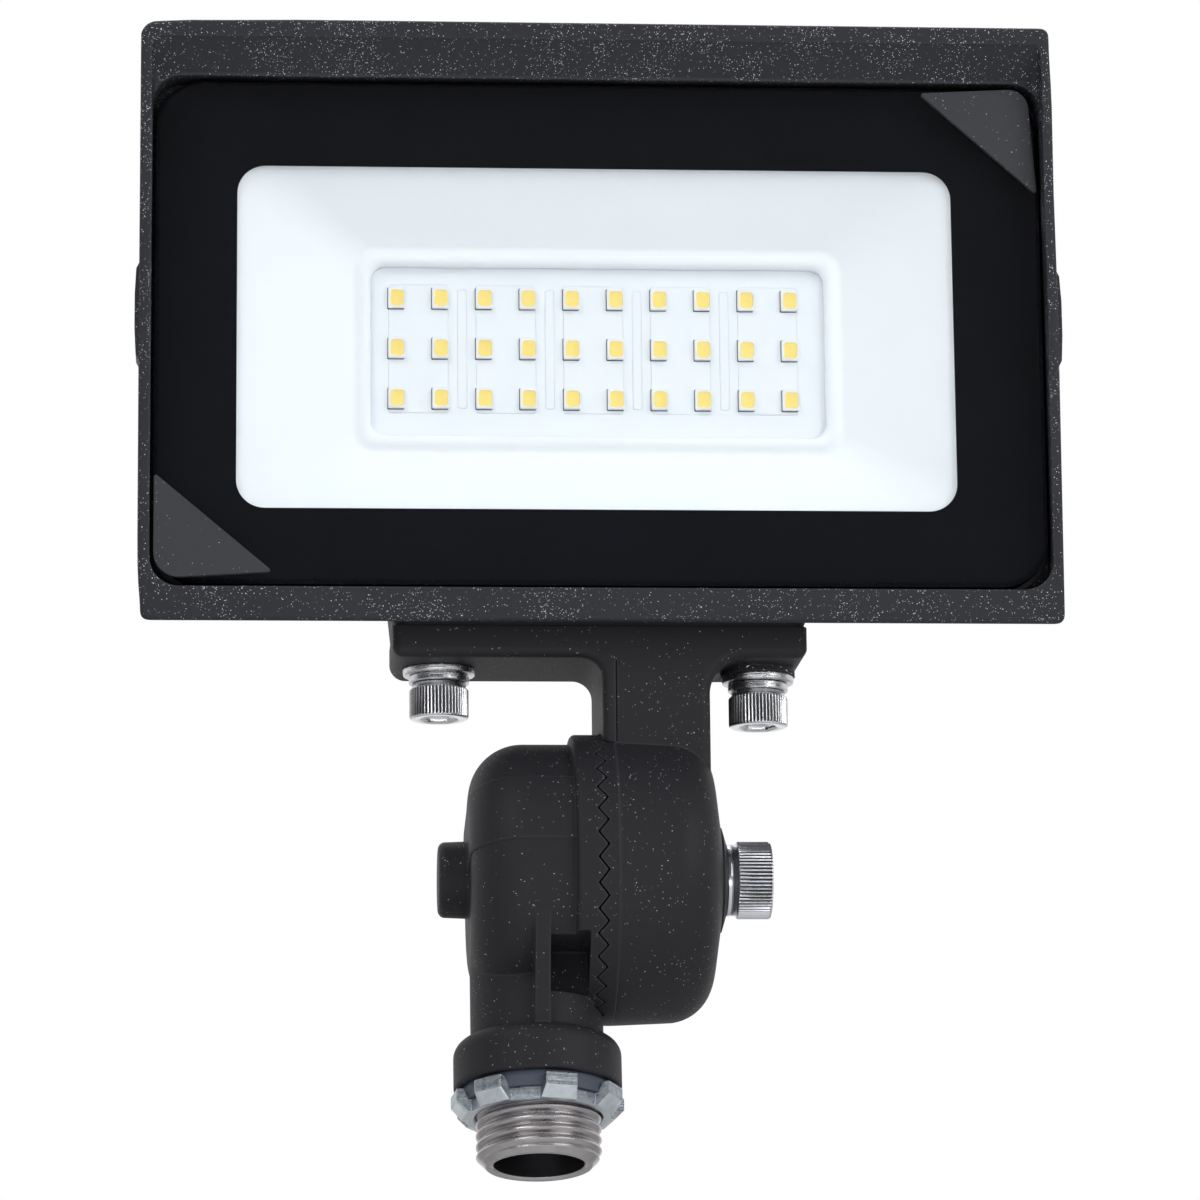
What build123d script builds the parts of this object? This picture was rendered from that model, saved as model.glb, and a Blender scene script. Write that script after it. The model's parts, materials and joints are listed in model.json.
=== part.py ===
from build123d import *

import math
import os

# LED flood light on a serrated knuckle with a threaded nipple, in millimetres.
# +Z runs up the nipple's axis, the front looks along -Y, and the origin is the
# centre of the nipple's free end. Head pieces are drawn upright round the knuckle's
# pivot and then tipped face down with it.

# Nipple, locknut and collar
nipple_r = 10.4
nipple_bore_r = 7.5
nipple_chamfer = 0.5
nipple_drop = 12.8
nipple_engagement = 11.0
engaged_thread_step = 0.2
free_thread = 7.7
thread_clearance = 0.1
collar_r = 13.95
collar_height = 8.5
collar_top_round = 2.8
collar_bottom_round = 0.6
collar_gasket_r = 12.7
collar_gasket_t = 2.6
locknut_r = 12.2
locknut_t = 2.2
locknut_chamfer = 0.5
locknut_lugs = 8
lug_reach_r = 14.2
lug_width = 5.5
lug_top_gap = 0.5
lug_top_width = 1.5
lug_root_inset = 1.2
lug_root_rise = 0.5
lug_corner_inset = 0.9
lug_corner_rise = 1.1
lug_wall_rise = 2.2
lug_gasket_gap = 0.15
lug_first_angle = -77.0

# Knuckle
pivot_rise = 37.0
tooth_plane_x = 10.2
tooth_count = 36
tooth_depth = 1.7
tooth_blunt = 0.1
tooth_gap = 0.35
tooth_inner_r = 14.6
groove_reach = 1.2
groove_spare = 3
knuckle_r = 24.4
flange_x = 5.8
flange_edge_round = 0.9
lobe_r = 22.75
lobe_left_x = -11.1
lobe_left_round = 9.0
band_height = 11.8
band_bottom = -0.6
band_proud = 0.3
neck_r = 11.05
neck_tooth_gap = 0.5
neck_top_z = -6.0
rib_left_x = -0.95
rib_right_x = 1.55
rib_top_y = -19.6
rib_top_z = -11.4
rib_foot_y = -12.0
pocket_right_x = 8.1
pocket_top_z = -15.2
pocket_bottom_z = -23.0
pocket_depth_y = -7.6
boss_left_x = -16.2
boss_tip_r = 6.3
boss_root_r = 6.55
boss_round = 1.2
bolt_hole_spare = 0.6
arm_way_r = 6.5
chamber_outer_r = 12.5
chamber_inner_r = 6.8
chamber_left_x = -4.5
seal_ring_inner_r = 12.7
seal_ring_outer_r = 14.3

# Drum, stem and bracket plate of the upper arm
tooth_ring_t = 2.55
drum_corner_x = 28.8
drum_corner_r = 23.72
drum_round = 7.7
drum_crown_r = 8.9
drum_end_x = 31.1
drum_chamber_depth = 11.0
stem_left_x = 11.1
stem_left_back_x = 10.5
stem_right_x = 29.1
stem_ring_clearance = 0.15
stem_seam_x = 13.2
stem_seam_width = 0.25
stem_seam_depth = 0.3
stem_seam_low_z = 21.5
stem_seam_high_z = 35.3
arm_depth = 24.0
arm_front_round = 1.5
arm_back_round = 2.4
bracket_left_x = -24.0
bracket_right_x = 45.55
bracket_bottom_z = 36.0
bracket_t = 5.2
end_round_front = 1.6
end_round_back = 2.8
bracket_corner_r = 2.4
left_curve_front = 3.8
left_curve_back = 3.3
right_curve_front = 6.5
right_curve_back = 2.2
stem_way_x = 20.1
stem_way_r = 3.6
bracket_gasket_t = 1.0
bracket_gasket_margin = 0.3
left_screw_x = -15.9
right_screw_x = 38.2
right_boss_height = 1.2

# Pivot bolt, M8 cap head, with its two washers
pivot_bolt_r = 4.0
pivot_bolt_tip_x = -13.4
pivot_bolt_clearance = 0.05
pivot_hole_clearance = 0.3
pivot_head_r = 6.5
pivot_head_height = 6.8
pivot_socket_af = 6.0
pivot_socket_depth = 4.0
pivot_head_chamfer = 0.4
seal_washer_land = 0.4
seal_washer_r = 8.85
seal_washer_t = 1.0
seal_washer_rim = 0.3
pivot_spring_r = 6.1
pivot_spring_t = 0.9

# Bracket screws, M6 cap heads, with spring and flat washers
screw_r = 3.0
screw_length = 16.0
screw_hole_clearance = 0.35
screw_thread_clearance = 0.05
screw_head_r = 5.0
screw_head_height = 6.0
screw_head_chamfer = 0.5
screw_socket_af = 5.0
screw_socket_depth = 3.0
flat_washer_r = 6.1
flat_washer_t = 1.2
spring_washer_r = 5.1
spring_washer_t = 1.4
washer_bore_clearance = 0.3
spot_face_margin = 0.2

# Housing, in the head's upright frame: z up from the pivot, y back from its axis
head_tilt = 10.0
head_centre_x = 10.9
housing_width = 155.0
housing_height = 103.0
housing_corner_r = 2.6
frame_drop = 1.4
frame_side = 2.4
frame_bottom_border = 6.1
frame_top_border = 9.3
rim_top_y = -22.0
rim_bottom_y = -17.7
rim_edge_round = 0.8
draft_y = -16.6
side_draft = 6.0
end_draft = 13.5
body_back_y = 0.0
fin_back_y = 15.2
fin_count = 17
fin_pitch = 8.4
fin_t = 2.0
fin_end_inset = 9.0
pad_rise = 52.5
pad_height = 16.8
pad_back_y = -12.6
pad_depth = 6.0
pad_proud = 0.72
pad_shoulder = 0.5
pad_end_slope = 1.0
pad_crest = 3.0
pedestal_inset = 0.15
pedestal_taper = 6.0
pedestal_overlap = 2.0
pedestal_flare_r = 2.6
bracket_notch = 0.8
bevel_margin = 0.9
bevel_height = 4.8
bevel_bottom_y = -17.6
bevel_lip_y = 0.5

# Glass, its gasket and its clips
glass_t = 4.0
glass_front_y = -17.0
glass_dx = 0.1
glass_corner_r = 6.6
glass_chamfer = 0.7
glass_side_gap = 0.5
glass_gasket_t = 1.2
glass_ledge = 4.6
cavity_corner_r = 4.0
clip_leg_x = 22.5
clip_leg_z = 18.6
clip_t = 1.0
clip_side_gap = 0.1

# Reflector, LED board and LEDs
window_dx = -0.4
window_dz = -0.4
reflector_gap_x = 3.0
reflector_gap_z = 2.7
reflector_opening_width = 77.4
reflector_opening_height = 29.7
reflector_opening_dx = 0.6
reflector_opening_dz = -0.8
reflector_wall = 1.0
reflector_foot = 1.4
reflector_land = 3.2
reflector_glass_gap = 0.25
reflector_rim = 4.5
reflector_rim_corner_r = 2.0
led_columns = 10
led_rows = 3
led_width = 2.8
led_length = 3.5
led_height = 0.8
led_margin_x = 3.775
led_margin_z = 4.32
led_dx = -0.77
led_dz = 0.63
led_face_depth = 6.2
board_t = 1.6
board_width = 106.0
board_height = 54.0
board_corner_r = 2.0
thermal_pad_t = 0.4
thermal_pad_inset = 1.0
board_screw_edge_x = 5.0
board_screw_edge_z = 4.5
board_screw_r = 1.5
board_screw_head_r = 2.6
board_screw_head_t = 1.3
board_screw_length = 5.0

# Driver compartment behind the board
driver_box_rise = 11.2
driver_box_width = 92.0
driver_box_height = 64.0
driver_box_wall = 2.5
driver_box_corner_r = 4.0
driver_box_inner_corner_r = 2.5
rear_gasket_t = 0.8
rear_gasket_width = 2.0
rear_gasket_inner_corner_r = 2.0
rear_cover_t = 2.0
rear_cover_round = 0.8
cover_boss_r = 4.0
cover_boss_inset = 0.5
cover_screw_r = 1.5
cover_screw_head_r = 2.8
cover_screw_head_t = 1.7
cover_screw_head_round = 0.8
cover_screw_length = 9.0
driver_board_gap_x = 1.5
driver_board_gap_z = 9.5
driver_post_height = 3.0
driver_post_r = 2.6
driver_screw_edge = 3.5
driver_screw_head_r = 2.3
driver_screw_head_t = 1.2
driver_screw_r = 1.2
driver_screw_length = 3.8
transformer_dx = 8.0
transformer_width = 19.0
transformer_height = 8.0
transformer_length = 17.0
winding_proud = 1.0
winding_inset = 1.6
winding_length = 10.0
capacitor_dx = -16.0
capacitor_dz = 9.0
capacitor_r = 3.9
capacitor_length = 14.0
capacitor_round = 0.6
bridge_dx = 26.0
bridge_side = 9.0
bridge_height = 2.6
lead_r = 0.8
lead_spacing = 5.0
lead_clearance = 0.3
lead_foot_inset = 1.9
lead_edge_margin = 1.6
supply_way_y = 3.6
grommet_r = 5.2
grommet_bore_r = 3.0
grommet_t = 3.0
fit_clearance = 0.05
board_hole_clearance = 0.15
cover_hole_clearance = 0.2
pad_hole_clearance = 0.5
blind_hole_spare = 0.3
overcut = 1.0

# Places that follow from the sizes above
pivot_z = nipple_drop + pivot_rise
ring_back_x = tooth_plane_x + tooth_gap / 2 + tooth_ring_t
lower_tooth_x = tooth_plane_x - tooth_gap / 2
upper_tooth_x = tooth_plane_x + tooth_gap / 2
tooth_root_x = lower_tooth_x - tooth_depth / 2
bracket_centre_x = (bracket_left_x + bracket_right_x) / 2
bracket_width = bracket_right_x - bracket_left_x
bracket_top_z = bracket_bottom_z + bracket_t
screw_seats = [(left_screw_x, bracket_bottom_z), (right_screw_x, bracket_bottom_z - right_boss_height)]
pedestal_bottom_z = bracket_top_z + bracket_gasket_t
pedestal_width = bracket_width - 2 * pedestal_inset
housing_bottom_z = pedestal_bottom_z - frame_drop
housing_top_z = housing_bottom_z + housing_height
housing_centre_z = housing_bottom_z + housing_height / 2
pad_centre_z = housing_bottom_z + pad_rise
glass_width = housing_width - 2 * frame_side
glass_height = housing_height - frame_bottom_border - frame_top_border
glass_centre_x = head_centre_x + glass_dx
glass_centre_z = housing_bottom_z + frame_bottom_border + glass_height / 2
glass_back_y = glass_front_y + glass_t
glass_seat_y = glass_back_y + glass_gasket_t
bevel_bottom_z = glass_centre_z + glass_height / 2 + bevel_margin
bevel_top_z = bevel_bottom_z + bevel_height
window_centre_x = head_centre_x + window_dx
window_centre_z = glass_centre_z + window_dz
opening_x = window_centre_x + reflector_opening_dx
opening_z = window_centre_z + reflector_opening_dz
led_centre_x = opening_x + led_dx
led_centre_z = opening_z + led_dz
led_pitch_x = (reflector_opening_width - 2 * led_margin_x - led_width) / (led_columns - 1)
led_pitch_z = (reflector_opening_height - 2 * led_margin_z - led_length) / (led_rows - 1)
led_face_y = glass_back_y + led_face_depth
board_front_y = led_face_y + led_height
board_back_y = board_front_y + board_t
board_screw_dx = board_width / 2 - board_screw_edge_x
board_screw_dz = board_height / 2 - board_screw_edge_z
cavity_floor_y = board_back_y + thermal_pad_t
cavity_width = glass_width - 2 * glass_ledge
cavity_height = glass_height - 2 * glass_ledge
reflector_mouth_width = cavity_width - 2 * (reflector_rim + reflector_gap_x)
reflector_mouth_height = cavity_height - 2 * (reflector_rim + reflector_gap_z)
lead_x = opening_x - reflector_opening_width / 2 - lead_foot_inset
driver_box_left_x = lead_x - lead_edge_margin - driver_board_gap_x - driver_box_wall
driver_box_centre_x = driver_box_left_x + driver_box_width / 2
driver_box_bottom_z = housing_bottom_z + driver_box_rise
driver_box_centre_z = driver_box_bottom_z + driver_box_height / 2
lead_heights = (driver_box_centre_z - lead_spacing / 2, driver_box_centre_z + lead_spacing / 2)
pedestal_top_z = driver_box_bottom_z + pedestal_overlap
rear_cover_y = fin_back_y + rear_gasket_t
rear_cover_back_y = rear_cover_y + rear_cover_t
driver_board_width = driver_box_width - 2 * driver_box_wall - 2 * driver_board_gap_x
driver_board_height = driver_box_height - 2 * driver_box_wall - 2 * driver_board_gap_z
driver_board_front_y = body_back_y + driver_post_height
driver_board_back_y = driver_board_front_y + board_t
cover_screw_dx = driver_box_width / 2 - cover_boss_r - cover_boss_inset
cover_screw_dz = driver_box_height / 2 - cover_boss_r - cover_boss_inset
driver_screw_dx = driver_board_width / 2 - driver_screw_edge
driver_screw_dz = driver_board_height / 2 - driver_screw_edge


def rod(radius, x_from, x_to, y=0.0, z=0.0):
    """A cylinder along X."""
    middle = Pos((x_from + x_to) / 2, y, z)
    return middle * Rot(0, 90, 0) * Cylinder(radius, x_to - x_from)


def post(radius, z_from, z_to, x=0.0, y=0.0):
    """A cylinder along Z."""
    return Pos(x, y, (z_from + z_to) / 2) * Cylinder(radius, z_to - z_from)


def pin(radius, y_from, y_to, x=0.0, z=0.0):
    """A cylinder along Y."""
    middle = Pos(x, (y_from + y_to) / 2, z)
    return middle * Rot(90, 0, 0) * Cylinder(radius, y_to - y_from)


def block(x_from, x_to, y_from, y_to, z_from, z_to):
    """A box between two corners."""
    centre = Pos((x_from + x_to) / 2, (y_from + y_to) / 2, (z_from + z_to) / 2)
    return centre * Box(x_to - x_from, y_to - y_from, z_to - z_from)


def upright(y, x=0.0, z=0.0):
    """The plane across the Y axis at a depth, seen from behind."""
    return Plane((x, y, z), x_dir=(1, 0, 0), z_dir=(0, 1, 0))


def panel(width, height, y_from, y_to, x=0.0, z=0.0, corner=0.0):
    """A plate in the XZ plane with rounded corners, drawn from y_from back to y_to."""
    outline = RectangleRounded(width, height, corner) if corner else Rectangle(width, height)
    return extrude(upright(y_from, x, z) * outline, amount=y_to - y_from)


def four_corners(x, z, dx, dz):
    """Centres of four fasteners round a middle."""
    return [(x + side * dx, z + up * dz) for side in (-1, 1) for up in (-1, 1)]


def revolved(points):
    """A solid turned round the X axis from (x, radius) points."""
    outline = Polyline(*[(x, 0, r) for x, r in points], close=True)
    return revolve(make_face(outline), Axis.X)


def tooth_grooves(plane_x, facing, first_angle):
    """V grooves that narrow to the pivot axis, so both toothed faces mesh."""
    reach = knuckle_r * groove_reach
    half_step = math.radians(180 / tooth_count)
    depth = tooth_depth / 2 * reach / knuckle_r
    spread = groove_spare * half_step * reach
    bottom = plane_x - facing * depth
    lip = bottom + facing * groove_spare * depth * 2
    apex = Vector(plane_x, 0, 0)
    corners = [Vector(bottom, 0, reach), Vector(lip, spread, reach), Vector(lip, -spread, reach)]
    base = make_face(Polyline(*corners, close=True))
    sides = [
        make_face(Polyline(apex, corners[i], corners[(i + 1) % 3], close=True)) for i in range(3)
    ]
    groove = Solid(Shell([base.face(), *[side.face() for side in sides]]))
    step = 360 / tooth_count
    return [Rot(first_angle + step * i, 0, 0) * groove for i in range(tooth_count)]


def hex_socket(across_flats, depth):
    """A hexagonal recess along +Z from the origin."""
    return extrude(RegularPolygon(across_flats / math.sqrt(3), 6), amount=depth)


# Pieces that stay with the junction box

def make_lower_arm():
    lobe = rod(lobe_r, lobe_left_x, flange_x)
    lobe = fillet(lobe.edges().group_by(Axis.X)[0], lobe_left_round)
    band = rod(lobe_r + band_proud, lobe_left_x - band_proud, flange_x)
    band = fillet(band.edges().group_by(Axis.X)[0], lobe_left_round + band_proud)
    reach = 2 * knuckle_r
    band &= block(-reach, reach, -reach, reach, band_bottom, band_bottom + band_height)
    flange = rod(knuckle_r, flange_x, lower_tooth_x + tooth_depth / 2 - tooth_blunt)
    flange = fillet(flange.edges().group_by(Axis.X)[0], flange_edge_round)
    flange -= rod(tooth_inner_r, tooth_root_x, tooth_plane_x + tooth_depth)
    flange -= tooth_grooves(lower_tooth_x, 1, 0)
    boss_length = lobe_left_x - boss_left_x + overcut
    boss = Pos(boss_left_x + boss_length / 2, 0, 0) * Rot(0, 90, 0) * Cone(
        boss_tip_r, boss_root_r, boss_length
    )
    boss = fillet(boss.edges().group_by(Axis.X)[0], boss_round)
    seat_z = -pivot_rise
    collar_top_z = seat_z + collar_height
    neck = post(neck_r, collar_top_z - overcut, neck_top_z)
    collar = post(collar_r, seat_z, collar_top_z)
    collar = fillet(collar.edges().group_by(Axis.Z)[-1], collar_top_round)
    collar = fillet(collar.edges().group_by(Axis.Z)[0], collar_bottom_round)
    rib_side = Polyline(
        (rib_left_x, 0, neck_top_z),
        (rib_left_x, rib_top_y, rib_top_z),
        (rib_left_x, rib_foot_y, collar_top_z - overcut),
        (rib_left_x, 0, collar_top_z - overcut),
        close=True,
    )
    rib = extrude(make_face(rib_side), amount=rib_right_x - rib_left_x, dir=(1, 0, 0))
    arm = lobe + band + boss + neck + collar + rib
    arm -= rod(knuckle_r + neck_tooth_gap, tooth_root_x, neck_r + overcut)
    arm += flange
    pocket = block(rib_right_x, pocket_right_x, -knuckle_r, pocket_depth_y, pocket_bottom_z, pocket_top_z)
    arm -= pocket
    # The wires run up through the collar into a ring-shaped chamber round the bolt
    chamber = rod(chamber_outer_r, chamber_left_x, tooth_root_x + overcut)
    chamber -= rod(chamber_inner_r, chamber_left_x, tooth_root_x + overcut)
    arm -= chamber
    arm -= post(arm_way_r, seat_z, -chamber_inner_r - fit_clearance)
    thread_hole_r = nipple_r - engaged_thread_step + fit_clearance
    arm -= post(thread_hole_r, seat_z, seat_z + nipple_engagement + fit_clearance)
    hole_end_x = pivot_bolt_tip_x - bolt_hole_spare
    arm -= rod(pivot_bolt_r + pivot_bolt_clearance, hole_end_x, tooth_root_x + overcut)
    return Pos(0, 0, pivot_z) * arm


def make_threaded_nipple():
    free_end = post(nipple_r, 0, free_thread)
    free_end = chamfer(free_end.edges().group_by(Axis.Z)[0], nipple_chamfer)
    top = nipple_drop + nipple_engagement
    engaged = post(nipple_r - engaged_thread_step, free_thread, top)
    return free_end + engaged - post(nipple_bore_r, -overcut, top + overcut)


def make_collar_gasket():
    low = nipple_drop - collar_gasket_t
    ring = post(collar_gasket_r, low, nipple_drop)
    return ring - post(nipple_r + thread_clearance, low, nipple_drop)


def make_locknut():
    top = nipple_drop - collar_gasket_t
    bottom = top - locknut_t
    nut = post(locknut_r, bottom, top)
    nut = chamfer(nut.edges().group_by(Axis.Z)[0], locknut_chamfer)
    lug_top = nipple_drop - lug_top_gap
    side = Polyline(
        (locknut_r - lug_root_inset, 0, bottom + lug_root_rise),
        (lug_reach_r - lug_corner_inset, 0, bottom + lug_corner_rise),
        (lug_reach_r, 0, bottom + lug_wall_rise),
        (lug_reach_r, 0, lug_top),
        (lug_reach_r - lug_top_width, 0, lug_top),
        (collar_gasket_r + lug_gasket_gap, 0, top),
        (locknut_r - lug_root_inset, 0, top),
        close=True,
    )
    lug = extrude(make_face(side), amount=lug_width / 2, both=True, dir=(0, 1, 0))
    step = 360 / locknut_lugs
    nut += [Rot(0, 0, lug_first_angle + step * i) * lug for i in range(locknut_lugs)]
    return nut - post(nipple_r + thread_clearance, bottom - overcut, top + overcut)


def make_tooth_ring():
    ring = rod(knuckle_r, upper_tooth_x - tooth_depth / 2 + tooth_blunt, ring_back_x)
    ring -= rod(tooth_inner_r, upper_tooth_x - tooth_depth, ring_back_x + overcut)
    ring -= tooth_grooves(upper_tooth_x, -1, 180 / tooth_count)
    return Pos(0, 0, pivot_z) * ring


def make_knuckle_seal():
    seal = rod(seal_ring_outer_r, tooth_root_x, ring_back_x)
    seal -= rod(seal_ring_inner_r, tooth_root_x, ring_back_x)
    return Pos(0, 0, pivot_z) * seal


# Pivot bolt and the washers that turn with it

def make_pivot_bolt():
    shank_end = drum_end_x + seal_washer_t + pivot_spring_t
    head = rod(pivot_head_r, shank_end, shank_end + pivot_head_height)
    head = chamfer(head.edges().group_by(Axis.X)[-1], pivot_head_chamfer)
    bolt = rod(pivot_bolt_r, pivot_bolt_tip_x, shank_end + overcut) + head
    socket = Rot(0, -90, 0) * hex_socket(pivot_socket_af, pivot_socket_depth)
    bolt -= Pos(shank_end + pivot_head_height, 0, 0) * socket
    return Pos(0, 0, pivot_z) * bolt


def make_pivot_seal_washer():
    bore_r = pivot_bolt_r + pivot_hole_clearance
    washer = revolved(
        [
            (drum_end_x, bore_r),
            (drum_end_x, seal_washer_r),
            (drum_end_x + seal_washer_rim, seal_washer_r),
            (drum_end_x + seal_washer_t, pivot_spring_r + seal_washer_land),
            (drum_end_x + seal_washer_t, bore_r),
        ]
    )
    return Pos(0, 0, pivot_z) * washer


def make_pivot_spring_washer():
    low = drum_end_x + seal_washer_t
    ring = rod(pivot_spring_r, low, low + pivot_spring_t)
    ring -= rod(pivot_bolt_r + fit_clearance, low, low + pivot_spring_t)
    return Pos(0, 0, pivot_z) * ring


# Head, drawn upright round the pivot

def arm_outline(left_x, left_curve, right_x, right_curve, end_round):
    """The T of plate and stem seen from the front, with a hollow curve on each side."""
    plate = Pos(bracket_centre_x, bracket_bottom_z + bracket_t / 2) * Rectangle(bracket_width, bracket_t)
    plate = fillet(plate.vertices().group_by(Axis.Y)[0], end_round)
    stem_top = bracket_bottom_z + overcut
    stem = Pos((left_x + right_x) / 2, stem_top / 2) * Rectangle(right_x - left_x, stem_top)
    outline = plate + stem
    for x, curve in ((left_x, left_curve), (right_x, right_curve)):
        corner = outline.vertices().sort_by_distance((x, bracket_bottom_z, 0))[0]
        outline = fillet(corner, curve)
    return outline


def make_upper_arm():
    half_depth = arm_depth / 2
    drum = revolved(
        [
            (ring_back_x, 0),
            (ring_back_x, knuckle_r),
            (drum_corner_x, drum_corner_r),
            (drum_end_x, drum_crown_r),
            (drum_end_x, 0),
        ]
    )
    corner = drum.edges().filter_by(GeomType.CIRCLE)
    drum = fillet(corner.sort_by(lambda e: abs(e.radius - drum_corner_r))[0], drum_round)
    front = arm_outline(stem_left_x, left_curve_front, stem_right_x, right_curve_front, end_round_front)
    back = arm_outline(stem_left_back_x, left_curve_back, stem_right_x, right_curve_back, end_round_back)
    facing_front = Plane.XZ.offset(half_depth)
    facing_back = Plane.XZ.offset(-half_depth)
    bracket = loft([facing_front * front, facing_back * back], ruled=True)
    # The plate's top and the stem's foot keep their sharp edges
    front_edges = bracket.faces().sort_by(Axis.Y)[0].edges().sort_by(Axis.Z)[1:-1]
    bracket = fillet(front_edges, arm_front_round)
    back_edges = bracket.faces().sort_by(Axis.Y)[-1].edges().sort_by(Axis.Z)[1:-1]
    bracket = fillet(back_edges, arm_back_round)
    bracket -= rod(knuckle_r + stem_ring_clearance, stem_left_back_x - overcut, ring_back_x)
    arm = drum + bracket
    for x, seat_z in screw_seats:
        boss_r = flat_washer_r + spot_face_margin
        if seat_z < bracket_bottom_z:
            arm += post(boss_r, seat_z, bracket_bottom_z + overcut, x)
        arm -= post(boss_r, seat_z - right_curve_front, seat_z, x)
        arm -= post(screw_r + screw_hole_clearance, seat_z - overcut, bracket_top_z + overcut, x)
    arm -= block(
        stem_seam_x,
        stem_seam_x + stem_seam_width,
        -half_depth - overcut,
        -half_depth + stem_seam_depth,
        stem_seam_low_z,
        stem_seam_high_z,
    )
    chamber = rod(chamber_outer_r, ring_back_x, ring_back_x + drum_chamber_depth)
    chamber -= rod(chamber_inner_r, ring_back_x, ring_back_x + drum_chamber_depth)
    arm -= chamber
    arm -= post(stem_way_r, chamber_inner_r + overcut, bracket_top_z + overcut, stem_way_x)
    arm -= rod(pivot_bolt_r + pivot_hole_clearance, ring_back_x - overcut, drum_end_x + overcut)
    return arm


def make_bracket_gasket():
    half_depth = arm_depth / 2 - bracket_gasket_margin
    sheet = block(
        bracket_left_x + bracket_gasket_margin,
        bracket_right_x - bracket_gasket_margin,
        -half_depth,
        half_depth,
        bracket_top_z,
        pedestal_bottom_z,
    )
    sheet = fillet(sheet.edges().filter_by(Axis.Z), bracket_corner_r)
    for x, _ in screw_seats:
        sheet -= post(screw_r + screw_hole_clearance, bracket_top_z, pedestal_bottom_z, x)
    return sheet - post(stem_way_r, bracket_top_z, pedestal_bottom_z, stem_way_x)


def make_bracket_flat_washer(x, seat_z):
    low = seat_z - flat_washer_t
    bore_r = screw_r + washer_bore_clearance
    return post(flat_washer_r, low, seat_z, x) - post(bore_r, low, seat_z, x)


def make_bracket_spring_washer(x, seat_z):
    high = seat_z - flat_washer_t
    low = high - spring_washer_t
    return post(spring_washer_r, low, high, x) - post(screw_r + fit_clearance, low, high, x)


def make_bracket_screw(x, seat_z):
    head_top = seat_z - flat_washer_t - spring_washer_t
    head_bottom = head_top - screw_head_height
    head = post(screw_head_r, head_bottom, head_top, x)
    head = chamfer(head.edges().group_by(Axis.Z)[0], screw_head_chamfer)
    screw = head + post(screw_r, head_top, head_top + screw_length, x)
    return screw - Pos(x, 0, head_bottom) * hex_socket(screw_socket_af, screw_socket_depth)


def housing_lip():
    """The front of the frame, leaning back to its foot."""
    lip = panel(
        housing_width, housing_height, rim_top_y, draft_y, head_centre_x, housing_centre_z, housing_corner_r
    )
    slope = Polyline(
        (head_centre_x, rim_top_y - overcut, housing_top_z),
        (head_centre_x, rim_top_y, housing_top_z),
        (head_centre_x, rim_bottom_y, housing_bottom_z),
        (head_centre_x, rim_top_y - overcut, housing_bottom_z),
        close=True,
    )
    lip -= extrude(make_face(slope), amount=housing_width, both=True, dir=(1, 0, 0))
    return fillet(lip.faces().sort_by(Axis.Y)[0].edges(), rim_edge_round)


def housing_back(y_to):
    """The housing behind its lip, drafted as far back as y_to."""
    narrower = 2 * (y_to - draft_y) * math.tan(math.radians(side_draft))
    lower = 2 * (y_to - draft_y) * math.tan(math.radians(end_draft))
    wide = RectangleRounded(housing_width, housing_height, housing_corner_r)
    narrow = RectangleRounded(housing_width - narrower, housing_height - lower, housing_corner_r)
    centre = (head_centre_x, housing_centre_z)
    return loft([upright(draft_y, *centre) * wide, upright(y_to, *centre) * narrow])


def cooling_fins():
    fins = []
    low = housing_bottom_z + fin_end_inset
    high = housing_top_z - fin_end_inset
    for i in range(fin_count):
        x = head_centre_x + (i - (fin_count - 1) / 2) * fin_pitch
        fins.append(block(x - fin_t / 2, x + fin_t / 2, body_back_y - overcut, fin_back_y, low, high))
    return housing_back(fin_back_y) & (Part() + fins)


def side_pad(side):
    """The swollen pad on the side of the frame; side is 1 on the right."""
    edge_x = head_centre_x + side * housing_width / 2
    half = pad_height / 2
    profile = [
        (-overcut, -half),
        (0, -half),
        (pad_shoulder, pad_end_slope - half),
        (pad_proud, -pad_crest),
        (pad_proud, pad_crest),
        (pad_shoulder, half - pad_end_slope),
        (0, half),
        (-overcut, half),
    ]
    corners = [(edge_x + side * out, pad_back_y - pad_depth, pad_centre_z + up) for out, up in profile]
    return extrude(make_face(Polyline(*corners, close=True)), amount=pad_depth, dir=(0, 1, 0))


def bracket_pedestal():
    """The foot that stands on the bracket, flared into the housing on its right."""
    foot = Plane((bracket_centre_x, 0, pedestal_bottom_z)) * RectangleRounded(
        pedestal_width, arm_depth, bracket_corner_r
    )
    pedestal = extrude(foot, amount=pedestal_top_z - pedestal_bottom_z, taper=-pedestal_taper)
    flank_x = bracket_centre_x + pedestal_width / 2
    flare = block(
        flank_x - overcut,
        flank_x + pedestal_flare_r,
        -arm_depth / 2,
        body_back_y,
        pedestal_bottom_z,
        pedestal_bottom_z + pedestal_flare_r,
    )
    hollow_x = flank_x + pedestal_flare_r
    flare -= pin(pedestal_flare_r, -arm_depth, arm_depth, hollow_x, pedestal_bottom_z)
    return pedestal + flare


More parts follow.
